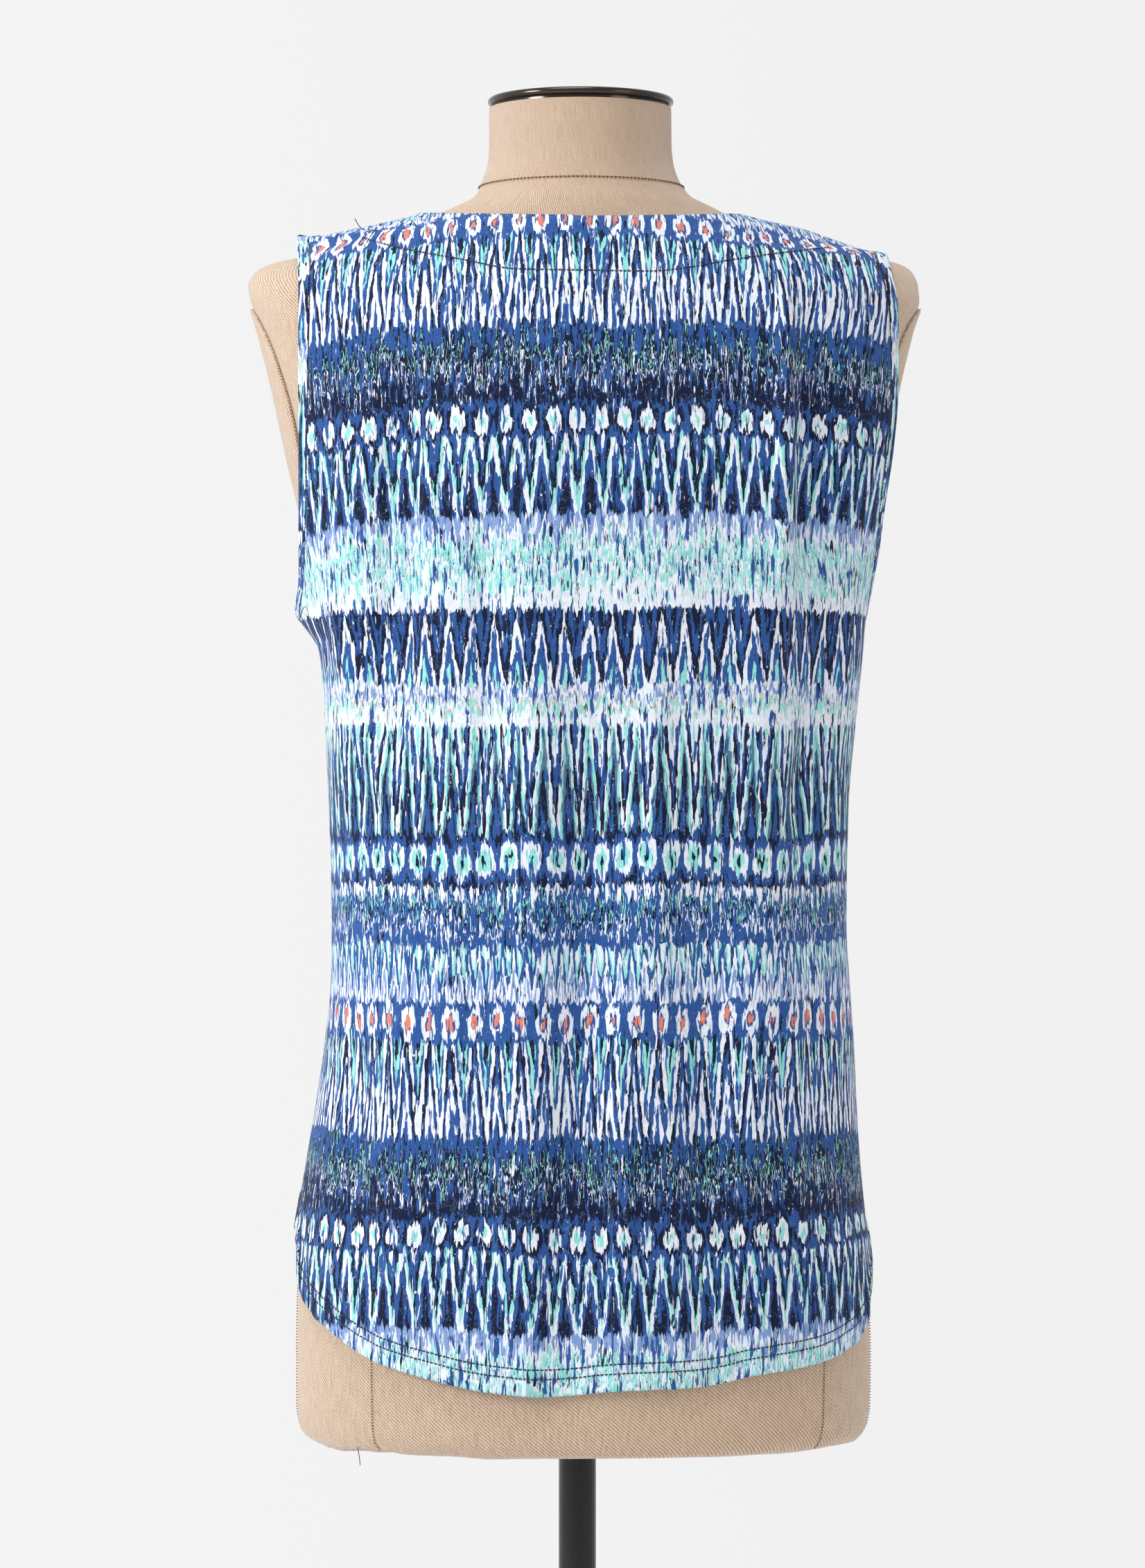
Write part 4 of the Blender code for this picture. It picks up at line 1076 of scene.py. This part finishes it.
def make_stand(steel, black):
    """Cap, socket, pole and base."""
    foot, top = FORM_SECTIONS[0].z, FORM_SECTIONS[-1].z
    step_foot = top + PART_GAP
    rim_foot = step_foot + CAP_STEP
    r = CAP_RIM / 2
    profile = [(0.0, rim_foot + CAP_RIM)] + arc(CAP_RADIUS - r, rim_foot + r, r, 90, -90, 13)
    profile += [(CAP_STEP_RADIUS, rim_foot), (CAP_STEP_RADIUS, step_foot), (0.0, step_foot)]
    make_turned("steel_cap", "neck_cap", profile, BODY_X, steel)

    top = foot - PART_GAP
    low = top - SOCKET_HEIGHT
    bore = POLE_RADIUS + PART_GAP
    rim, lip, fillet = SOCKET_RADIUS - SOCKET_ROUND, top - SOCKET_LIP, SOCKET_FILLET
    profile = [(bore, top)] + arc(rim, top - SOCKET_ROUND, SOCKET_ROUND, 90, 0, 5)
    profile += arc(rim, lip + SOCKET_ROUND, SOCKET_ROUND, 0, -90, 5)
    profile += arc(SOCKET_NECK_RADIUS + fillet, lip - fillet, fillet, 90, 180, 5)
    profile += [(SOCKET_NECK_RADIUS, low + SOCKET_CHAMFER), (SOCKET_NECK_RADIUS - SOCKET_CHAMFER, low)]
    profile += [(bore, low), (bore, top)]
    make_turned("black_socket", "pole_socket", profile, 0.0, black)

    low = BASE_BOSS_HEIGHT + PART_GAP
    profile = [(0.0, top), (POLE_RADIUS, top), (POLE_RADIUS, low), (0.0, low)]
    make_turned("black_pole", "pole", profile, 0.0, black)

    profile = [(0.0, BASE_BOSS_HEIGHT)]
    profile += arc(BASE_BOSS_RADIUS - BASE_ROUND, BASE_BOSS_HEIGHT - BASE_ROUND, BASE_ROUND, 90, 0, 7)
    profile += arc(BASE_BOSS_RADIUS + BASE_FILLET, BASE_HEIGHT + BASE_FILLET_RISE, BASE_FILLET, 180, 270, 9)
    profile += [(BASE_RADIUS * BASE_MIDWAY, BASE_HEIGHT - BASE_DIP)]
    profile += arc(BASE_RADIUS - BASE_ROUND, BASE_EDGE - BASE_ROUND_DROP, BASE_ROUND, 75, 0, 9)
    profile += [(BASE_RADIUS, BASE_CHAMFER), (BASE_RADIUS - BASE_CHAMFER, 0.0), (0.0, 0.0)]
    make_turned("black_base", "stand_base", profile, 0.0, black)


def add_stitches(bm, path, length, pitch, thread):
    """Lays short stitches along a path of points."""
    path = np.array(path)
    arc_length = np.concatenate([[0.0], np.cumsum(np.linalg.norm(np.diff(path, axis=0), axis=1))])
    size = Matrix.Diagonal((length / 2, thread, thread, 1.0))

    def place(distance):
        return Vector([np.interp(distance, arc_length, path[:, axis]) for axis in range(3)])

    for start in np.arange(0.0, arc_length[-1] - length, pitch):
        first, last = place(start), place(start + length)
        turned = (last - first).to_track_quat("X", "Z").to_matrix().to_4x4()
        matrix = Matrix.Translation((first + last) / 2) @ turned @ size
        bmesh.ops.create_icosphere(bm, subdivisions=1, radius=1.0, matrix=matrix)


def hem_path(front, above):
    """One row of the hem's twin stitches."""
    path = []
    for u in np.linspace(-HEM_ENDS, HEM_ENDS, HEM_SEAM_STEPS):
        z = hem_height(u, front) + above
        path.append(worn_point(z, seam_turn(u, front), above, JERSEY + THREAD_PROUD))
    return path


def binding_path(side):
    """The seam that holds a binding to the panels: real stitches, sunk into the gap between band and panel so
    that their dark thread also paints the gap's shade.
    """
    shares = np.linspace(*BINDING_ENDS, 2 * BAND_STEPS)
    edge = [armhole_edge(side, share, BAND_WIDTH + BAND_GAP / 2) for share in shares]
    return [worn_point(z, turn, 1.0, JERSEY * BINDING_SEAM_DEPTH) for z, turn in edge]


def facing_path():
    """The line of stitches that holds the facing behind the back neck."""
    path = []
    for x in np.linspace(FACING_LINE[0].x, FACING_LINE[-1].x, FACING_STEPS):
        z = FACING.at(x).z
        path.append(worn_point(z, turn_at_x(CLOTH, z, x - BODY_X, False), 1.0, JERSEY + THREAD_PROUD))
    return path


def front_facing_path():
    """The like line in front."""
    path = []
    for share in np.linspace(-FACING_ENDS, FACING_ENDS, FACING_STEPS):
        z, turn = neckline(share, True)
        side = 1 if turn >= 0 else -1
        z -= FACING_DEPTH * (1.0 - abs(share) ** FACING_RISE)
        path.append(worn_point(z, side * (2.0 - abs(turn)), 1.0, JERSEY + THREAD_PROUD))
    return path


def loose_end(bm, start, reach, rise):
    """A thread end that curls away from a seam."""
    aside, out = reach
    curl = []
    for k in np.linspace(0, 1, LOOSE_STEPS):
        curl.append(Vector(start) + Vector((aside * k, out * sin(k * LOOSE_CURL), rise * k * k)))
    add_stitches(bm, curl, LOOSE_BIT, LOOSE_BIT * LOOSE_OVERLAP, THREAD * LOOSE_THICKNESS)


def make_top_stitches(material):
    """All the stitches and thread ends that show on the top."""
    bm = bmesh.new()
    for front in (False, True):
        for above in HEM_ROWS:
            add_stitches(bm, hem_path(front, above), STITCH, STITCH_PITCH, THREAD)
    for path in (facing_path(), front_facing_path(), binding_path(-1), binding_path(1)):
        add_stitches(bm, path, STITCH, STITCH_PITCH, THREAD)
    for x, z, reach, rise in LOOSE_ENDS:
        turn = turn_at_x(CLOTH, z, x - BODY_X, False)
        loose_end(bm, cloth_point(z, turn) + outward(z, turn) * 2 * JERSEY, reach, rise)
    obj = new_object(bm, "top_stitches", material)


def make_form_stitches(material):
    """Seams of the linen cover: round the neck, and up the sides and the gores."""
    bm = bmesh.new()
    neck = [body_point(NECK_SEAM_Z, turn, THREAD) for turn in np.linspace(-2.0, 2.0, NECK_SEAM_STEPS)]
    add_stitches(bm, neck, STITCH, STITCH_PITCH, THREAD)
    gores = [turn_at_x(FORM, FORM_SECTIONS[3].z, x, front) for x in GORE_X for front in (False, True)]
    heights = np.linspace(FORM_SECTIONS[0].z + SEAM_FOOT, GORE_SHOWN_Z, GORE_STEPS)
    for seam in gores + [-1.0, 1.0]:
        rise = [body_point(z, seam, THREAD) for z in heights]
        add_stitches(bm, rise, SEAM_DOT, SEAM_PITCH, THREAD)
    foot = FORM_SECTIONS[1].z
    loose_end(bm, body_point(foot, turn_at_x(FORM, foot, LINEN_END_X, False)), *LINEN_END)
    obj = new_object(bm, "form_stitches", material)


def put(tree, kind, inputs=None, out=0, **settings):
    """Adds a node and gives one of its outputs: inputs are values or other outputs, settings are its own."""
    node = tree.nodes.new("ShaderNode" + kind)
    for name, value in settings.items():
        setattr(node, name, value)
    for key, value in (inputs or {}).items():
        if isinstance(value, bpy.types.NodeSocket):
            tree.links.new(value, node.inputs[key])
        else:
            node.inputs[key].default_value = value
    return node.outputs[out]


def rgb(code):
    """A colour as the shader takes it, from its sRGB hex code."""
    values = [int(code[i : i + 2], 16) / 255 for i in (1, 3, 5)]
    return (*[v / 12.92 if v <= 0.04045 else ((v + 0.055) / 1.055) ** 2.4 for v in values], 1.0)


def new_material(name, color, roughness, metallic=0.0, **settings):
    material = bpy.data.materials.new(name)
    material.use_nodes = True
    shader = material.node_tree.nodes["Principled BSDF"]
    shader.inputs["Base Color"].default_value = rgb(color)
    shader.inputs["Roughness"].default_value = roughness
    shader.inputs["Metallic"].default_value = metallic
    for key, value in settings.items():
        shader.inputs[key.replace("_", " ")].default_value = value
    return material, material.node_tree, shader


def thread_coordinates(tree):
    """Millimetres across and up the flat cloth, from its map."""
    parts = put(tree, "SeparateXYZ", {0: put(tree, "UVMap", uv_map="flat_cloth")}).node.outputs
    return [put(tree, "Math", {0: parts[i], 1: MILLIMETRES}, operation="MULTIPLY") for i in (0, 1)]


def soft_random(tree, across, up, grain):
    """Soft random values from 0 to 1, stretched as their grain says."""
    x = put(tree, "Math", {0: across, 1: grain.across}, operation="MULTIPLY")
    y = put(tree, "Math", {0: up, 1: grain.up}, operation="MULTIPLY")
    place = put(tree, "CombineXYZ", {0: x, 1: y, 2: grain.seed})
    look = {"Vector": place, "Scale": 1.0, "Detail": grain.detail, "Roughness": NOISE_ROUGHNESS}
    return put(tree, "TexNoise", look)


def shifted(tree, value, wobble, reach):
    """value moved to either side by up to half of reach, as wobble runs from 0 to 1."""
    centred = put(tree, "Math", {0: wobble, 1: 0.5}, operation="SUBTRACT")
    return put(tree, "Math", {0: centred, 1: reach, 2: value}, operation="MULTIPLY_ADD")


def wave(tree, value, length):
    """A wave from -1 to 1 whose crests are this far apart."""
    turns = put(tree, "Math", {0: value, 1: 2 * pi / length}, operation="MULTIPLY")
    return put(tree, "Math", {0: turns}, operation="SINE")


def color_steps(tree, value, steps, change="CONSTANT"):
    """Colours that follow one another with value; steps are pairs of a start and a hex code."""
    color = put(tree, "ValToRGB", {0: value})
    ramp = color.node.color_ramp
    ramp.interpolation = change
    while len(ramp.elements) < len(steps):
        ramp.elements.new(0.5)
    for element, (start, code) in zip(ramp.elements, steps):
        element.position = start
        element.color = rgb(code)
    return color


def figure(tree, row, across, height, stroke):
    """How far a place lies inside one of a row's figures, from 0 to about 1."""
    cell = put(tree, "Math", {0: across, 1: 1.0 / row.pitch, 2: row.shift}, operation="MULTIPLY_ADD")
    part = put(tree, "Math", {0: cell}, operation="FRACT")
    side = put(tree, "Math", {0: part, 1: 2.0, 2: -1.0}, operation="MULTIPLY_ADD")
    aside = put(tree, "Math", {0: side}, operation="ABSOLUTE")
    if row.figure == "peaks":
        whole = 1.0 + abs(row.reach)
        low = max(-row.reach, 0.0) / whole
        rise = put(tree, "Math", {0: height, 1: 1.0 / whole, 2: low}, operation="MULTIPLY_ADD")
        return put(tree, "Math", {0: aside, 1: row.reach / whole, 2: rise}, operation="MULTIPLY_ADD")
    if row.figure == "beads":
        rise = put(tree, "Math", {0: height, 1: 2.0, 2: -1.0}, operation="MULTIPLY_ADD")
        wide = put(tree, "Math", {0: aside, 1: row.reach}, operation="MULTIPLY")
        place = put(tree, "CombineXYZ", {0: wide, 1: rise})
        return put(tree, "VectorMath", {0: place}, out=1, operation="LENGTH")
    return shifted(tree, height, stroke, row.reach)


def dabs(tree, across, up):
    """Draws each place towards the middle of its dab, so that a dab has nearly one ink."""
    wide = put(tree, "Math", {0: across, 1: DAB_ACROSS}, operation="MULTIPLY")
    high = put(tree, "Math", {0: up, 1: DAB_UP}, operation="MULTIPLY")
    cells = {"Vector": put(tree, "CombineXYZ", {0: wide, 1: high}), "Scale": 1.0}
    found = put(tree, "TexVoronoi", cells, out="Position", voronoi_dimensions="2D")
    middles = put(tree, "SeparateXYZ", {0: found}).node.outputs
    drawn = []
    for value, middle, grain in zip((across, up), middles, (DAB_ACROSS, DAB_UP)):
        away = put(tree, "Math", {0: middle, 1: 1.0 / grain}, operation="MULTIPLY")
        drawn.append(put(tree, "Mix", {0: DAB_PULL, 2: value, 3: away}))
    return drawn


def row_colors(tree, across, up):
    """The print's rows of figures, one above another."""
    ragged = soft_random(tree, across, up, RAGGED)
    sag = soft_random(tree, across, up, SAG)
    drift = soft_random(tree, across, up, DRIFT)
    high = shifted(tree, shifted(tree, up, ragged, RAGGED_BY), sag, SAG_BY)
    beside = shifted(tree, across, drift, DRIFT_BY)
    stroke = soft_random(tree, across, up, STROKE)
    fleck = soft_random(tree, across, up, FLECK)
    repeat = sum(row.height for row in PRINT_ROWS)
    high = put(tree, "Math", {0: high, 1: PRINT_START}, operation="SUBTRACT")
    place = put(tree, "Math", {0: high, 1: repeat}, operation="FLOORED_MODULO")
    color = None
    low = 0.0
    for row in PRINT_ROWS:
        height = put(tree, "MapRange", {0: place, 1: low, 2: low + row.height})
        broken = shifted(tree, height, fleck, row.broken)
        inks = [(start, INKS[ink]) for start, ink in row.inks]
        inked = color_steps(tree, figure(tree, row, beside, broken, stroke), inks)
        above = put(tree, "MapRange", {0: place, 1: low - ROW_EDGE, 2: low + ROW_EDGE})
        color = inked if color is None else put(tree, "Mix", {0: above, 6: color, 7: inked}, **COLOR_MIX)
        low += row.height
    return color


def printed_color(tree, across, up):
    """An ikat of ragged rows of peaks, beads and bars, laid in short upright dabs, with fine pale veins."""
    drawn = dabs(tree, across, up)
    color = row_colors(tree, *drawn)
    for ink, wide, long, seed, start in STREAKS:
        streak = soft_random(tree, *drawn, Grain(wide, long, seed, STREAK_DETAIL))
        shown = put(tree, "MapRange", {0: streak, 1: start, 2: start + STREAK_EDGE})
        color = put(tree, "Mix", {0: shown, 6: color, 7: rgb(INKS[ink])}, **COLOR_MIX)
    vein = put(tree, "Math", {0: soft_random(tree, across, up, VEIN), 1: 0.5}, operation="SUBTRACT")
    middle = put(tree, "Math", {0: vein}, operation="ABSOLUTE")
    thin = put(tree, "MapRange", {0: middle, 1: VEIN_WIDTH, 2: 0.0, 3: 0.0, 4: VEIN_SHADE})
    color = put(tree, "Mix", {0: thin, 6: color, 7: rgb(INKS["periwinkle"])}, **COLOR_MIX)
    mottle = soft_random(tree, across, up, MOTTLE)
    shade = put(tree, "MapRange", {0: mottle, 1: NOISE_LOW, 2: NOISE_HIGH, 3: MOTTLE_DARK, 4: MOTTLE_LIGHT})
    return put(tree, "VectorMath", {0: color, "Scale": shade}, operation="SCALE")


def printed_jersey():
    """Viscose jersey, matt with a faint sheen: the knit breaks up the light and the sheen pales its edges."""
    sheen = {"Sheen_Weight": 0.06, "Sheen_Roughness": 0.5, "Specular_IOR_Level": 0.2}
    material, tree, shader = new_material("printed_viscose_jersey", "#7FA3C4", 0.78, **sheen)
    across, up = thread_coordinates(tree)
    tree.links.new(printed_color(tree, across, up), shader.inputs["Base Color"])
    soft = soft_random(tree, across, up, SOFT_KNIT)
    loops = put(tree, "Math", {0: wave(tree, across, WALE), 1: wave(tree, up, COURSE)}, operation="MULTIPLY")
    height = put(tree, "Math", {0: soft, 1: KNIT_SOFTNESS, 2: loops}, operation="MULTIPLY_ADD")
    relief = {"Height": height, "Strength": 0.35, "Distance": KNIT_DEPTH}
    tree.links.new(put(tree, "Bump", relief), shader.inputs["Normal"])
    return material


def linen_canvas():
    """Natural linen canvas: an uneven twill of tan threads with brown flecks, quite without shine."""
    sheen = {"Sheen_Weight": 0.45, "Sheen_Roughness": 0.5}
    material, tree, shader = new_material("linen_canvas", "#CDB39A", 0.92, **sheen)
    across, up = thread_coordinates(tree)
    lean = put(tree, "Math", {0: across, 1: 1.0, 2: up}, operation="MULTIPLY_ADD")
    lean = shifted(tree, lean, soft_random(tree, across, up, TWILL_WANDER), WANDER_BY)
    cell = put(tree, "Math", {0: wave(tree, across, WARP), 1: wave(tree, up, WARP)}, operation="MULTIPLY")
    rib = wave(tree, lean, TWILL)
    height = put(tree, "Math", {0: rib, 1: TWILL_SHARE, 2: cell}, operation="MULTIPLY_ADD")
    slub = soft_random(tree, across, up, SLUB)
    height = put(tree, "Math", {0: slub, 1: SLUB_SHARE, 2: height}, operation="MULTIPLY_ADD")
    tone = put(tree, "MapRange", {0: height, 1: -0.5, 2: 2.0})
    color = put(tree, "Mix", {0: tone, 6: rgb("#8C6644"), 7: rgb("#F1DBC3")}, **COLOR_MIX)
    fleck = soft_random(tree, across, up, LINEN_FLECK)
    shown = put(tree, "MapRange", {0: fleck, 1: 0.66, 2: 0.74, 3: 0.0, 4: 0.8})
    color = put(tree, "Mix", {0: shown, 6: color, 7: rgb("#7B5636")}, **COLOR_MIX)
    tree.links.new(color, shader.inputs["Base Color"])
    relief = {"Height": height, "Strength": 0.5, "Distance": LINEN_DEPTH}
    tree.links.new(put(tree, "Bump", relief), shader.inputs["Normal"])
    return material


def hard_grain(tree, scale, detail=2.0, center_x=0.0, turned=False):
    """Random values from 0 to 1 on a hard piece, scale grains to a metre; turned ones run round its axis."""
    place = {"Vector": put(tree, "TexCoord", out="Object"), "Location": (-center_x, 0.0, 0.0)}
    place = put(tree, "Mapping", place)
    if turned:
        level = put(tree, "VectorMath", {0: place, 1: (1.0, 1.0, 0.0)}, operation="MULTIPLY")
        height = put(tree, "VectorMath", {0: place, 1: (0.0, 0.0, 1.0)}, out=1, operation="DOT_PRODUCT")
        radius = put(tree, "VectorMath", {0: level}, out=1, operation="LENGTH")
        place = put(tree, "CombineXYZ", {0: radius, 2: height})
    return put(tree, "TexNoise", {"Vector": place, "Scale": scale, "Detail": detail})


def finish(tree, shader, value, rough, strength, depth):
    """Spreads a surface's roughness between two values and gives it a relief this deep, both from value."""
    spread = put(tree, "MapRange", {0: value, 1: NOISE_LOW, 2: NOISE_HIGH, 3: rough[0], 4: rough[1]})
    tree.links.new(spread, shader.inputs["Roughness"])
    bump = put(tree, "Bump", {"Height": value, "Strength": strength, "Distance": depth})
    tree.links.new(bump, shader.inputs["Normal"])


def polished_steel():
    """Stainless steel turned and polished, with fine rings that draw its highlights out; its colour is set far
    darker than steel's, a painted dark reflection of the room behind the camera.
    """
    # 4C4743 is a painted dark reflection of the room behind the camera, not the steel's own colour
    material, tree, shader = new_material("turned_steel_painted_dark_reflection", "#4C4743", 0.16, 1.0)
    rings = hard_grain(tree, STEEL_RINGS, 3.0, BODY_X, turned=True)
    finish(tree, shader, rings, (0.10, 0.24), 0.12, 0.00002)
    return material


def stoved_enamel():
    """Black enamel sprayed on steel and stoved: satin, its highlights softened by an orange-peel ripple."""
    material, tree, shader = new_material("stoved_black_enamel", "#08090B", 0.28)
    finish(tree, shader, hard_grain(tree, ENAMEL_PEEL), (0.22, 0.36), 0.25, 0.00004)
    return material


def sewing_thread(name, dark, light):
    """Twisted polyester thread: its plies catch the light by turns, painted as a mottle from its dark colour to
    a lighter one along its length.
    """
    material, tree, shader = new_material(name, dark, 0.6, Sheen_Weight=0.2, Sheen_Roughness=0.4)
    plies = hard_grain(tree, THREAD_PLIES)
    shade = put(tree, "MapRange", {0: plies, 1: 0.35, 2: 0.65})
    # painted highlight: the lighter colour stands for light caught on the plies
    color = put(tree, "Mix", {0: shade, 6: rgb(dark), 7: rgb(light)}, **COLOR_MIX)
    tree.links.new(color, shader.inputs["Base Color"])
    finish(tree, shader, plies, (0.5, 0.7), 0.3, 0.00005)
    return material


def floor_paint():
    """Pale matt floor paint, rolled on: faint clouds of grey and a fine stipple."""
    material, tree, shader = new_material("rolled_floor_paint", "#F1F1F3", 0.8)
    clouds = hard_grain(tree, FLOOR_CLOUDS, 4.0)
    color = put(tree, "Mix", {0: clouds, 6: rgb("#EDEDF0"), 7: rgb("#F5F5F6")}, **COLOR_MIX)
    tree.links.new(color, shader.inputs["Base Color"])
    finish(tree, shader, hard_grain(tree, FLOOR_STIPPLE), (0.72, 0.86), 0.2, 0.0003)
    return material


def stage_floor():
    bm = bmesh.new()
    bmesh.ops.create_circle(bm, cap_ends=True, radius=FLOOR_RADIUS, segments=FLOOR_STEPS)
    mesh = bpy.data.meshes.new("pale_floor")
    bm.to_mesh(mesh)
    bm.free()
    mesh.materials.append(floor_paint())
    floor = bpy.data.objects.new("pale_floor", mesh)
    bpy.context.scene.collection.objects.link(floor)


def set_camera():
    data = bpy.data.cameras.new("camera")
    data.lens = SENSOR * CAMERA_DISTANCE / (PICTURE_HEIGHT * PIXEL)
    data.sensor_width = SENSOR
    data.dof.use_dof = False
    camera = bpy.data.objects.new("camera", data)
    camera.location = (CAMERA_X, -CAMERA_DISTANCE, CAMERA_Z)
    camera.rotation_euler = (pi / 2, 0.0, 0.0)
    bpy.context.scene.collection.objects.link(camera)
    bpy.context.scene.camera = camera


def add_light(lamp):
    data = bpy.data.lights.new(lamp.name, "AREA")
    data.shape = "DISK"
    data.size = lamp.size
    data.energy = lamp.watts
    data.color = rgb(lamp.color)[:3]
    light = bpy.data.objects.new(lamp.name, data)
    light.location = lamp.place
    light.rotation_euler = (Vector(LIT_PLACE) - Vector(lamp.place)).to_track_quat("-Z", "Y").to_euler()
    bpy.context.scene.collection.objects.link(light)


def set_studio():
    """A bright white room, brighter to the left and ahead, shown as it is without a film's curve."""
    world = bpy.data.worlds.new("studio")
    world.use_nodes = True
    tree = world.node_tree
    parts = put(tree, "SeparateXYZ", {0: put(tree, "TexCoord", out="Generated")}).node.outputs
    level = put(tree, "MapRange", {0: parts[0], 1: -1.0, 2: 1.0})
    background = tree.nodes["Background"]
    tree.links.new(color_steps(tree, level, WORLD_SHADES, "LINEAR"), background.inputs["Color"])
    near = put(tree, "MapRange", {0: parts[1], 1: -0.9, 2: 0.3, 3: NEAR_SHADE, 4: 1.0})
    tree.links.new(near, background.inputs["Strength"])
    bpy.context.scene.world = world
    bpy.context.scene.view_settings.view_transform = "Standard"


set_camera()
set_studio()
for lamp in LAMPS:
    add_light(lamp)
stage_floor()

jersey = printed_jersey()
linen = linen_canvas()
steel = polished_steel()
black = stoved_enamel()
navy = sewing_thread("navy_polyester_thread", "#0E1326", "#1E2642")
brown = sewing_thread("brown_polyester_thread", "#6C3F2A", "#8A5A40")

back = make_panel("back_jersey", "back_panel", False, jersey)
front = make_panel("front_jersey", "front_panel", True, jersey)
left, left_length = make_binding(-1, "left_binding", "armhole_band_left", jersey)
right, right_length = make_binding(1, "right_binding", "armhole_band_right", jersey)
body = make_body(linen)
make_plate(-1, "left_arm_plate", "arm_plate_left", linen)
make_plate(1, "right_arm_plate", "arm_plate_right", linen)
make_stand(steel, black)
make_top_stitches(navy)
make_form_stitches(brown)
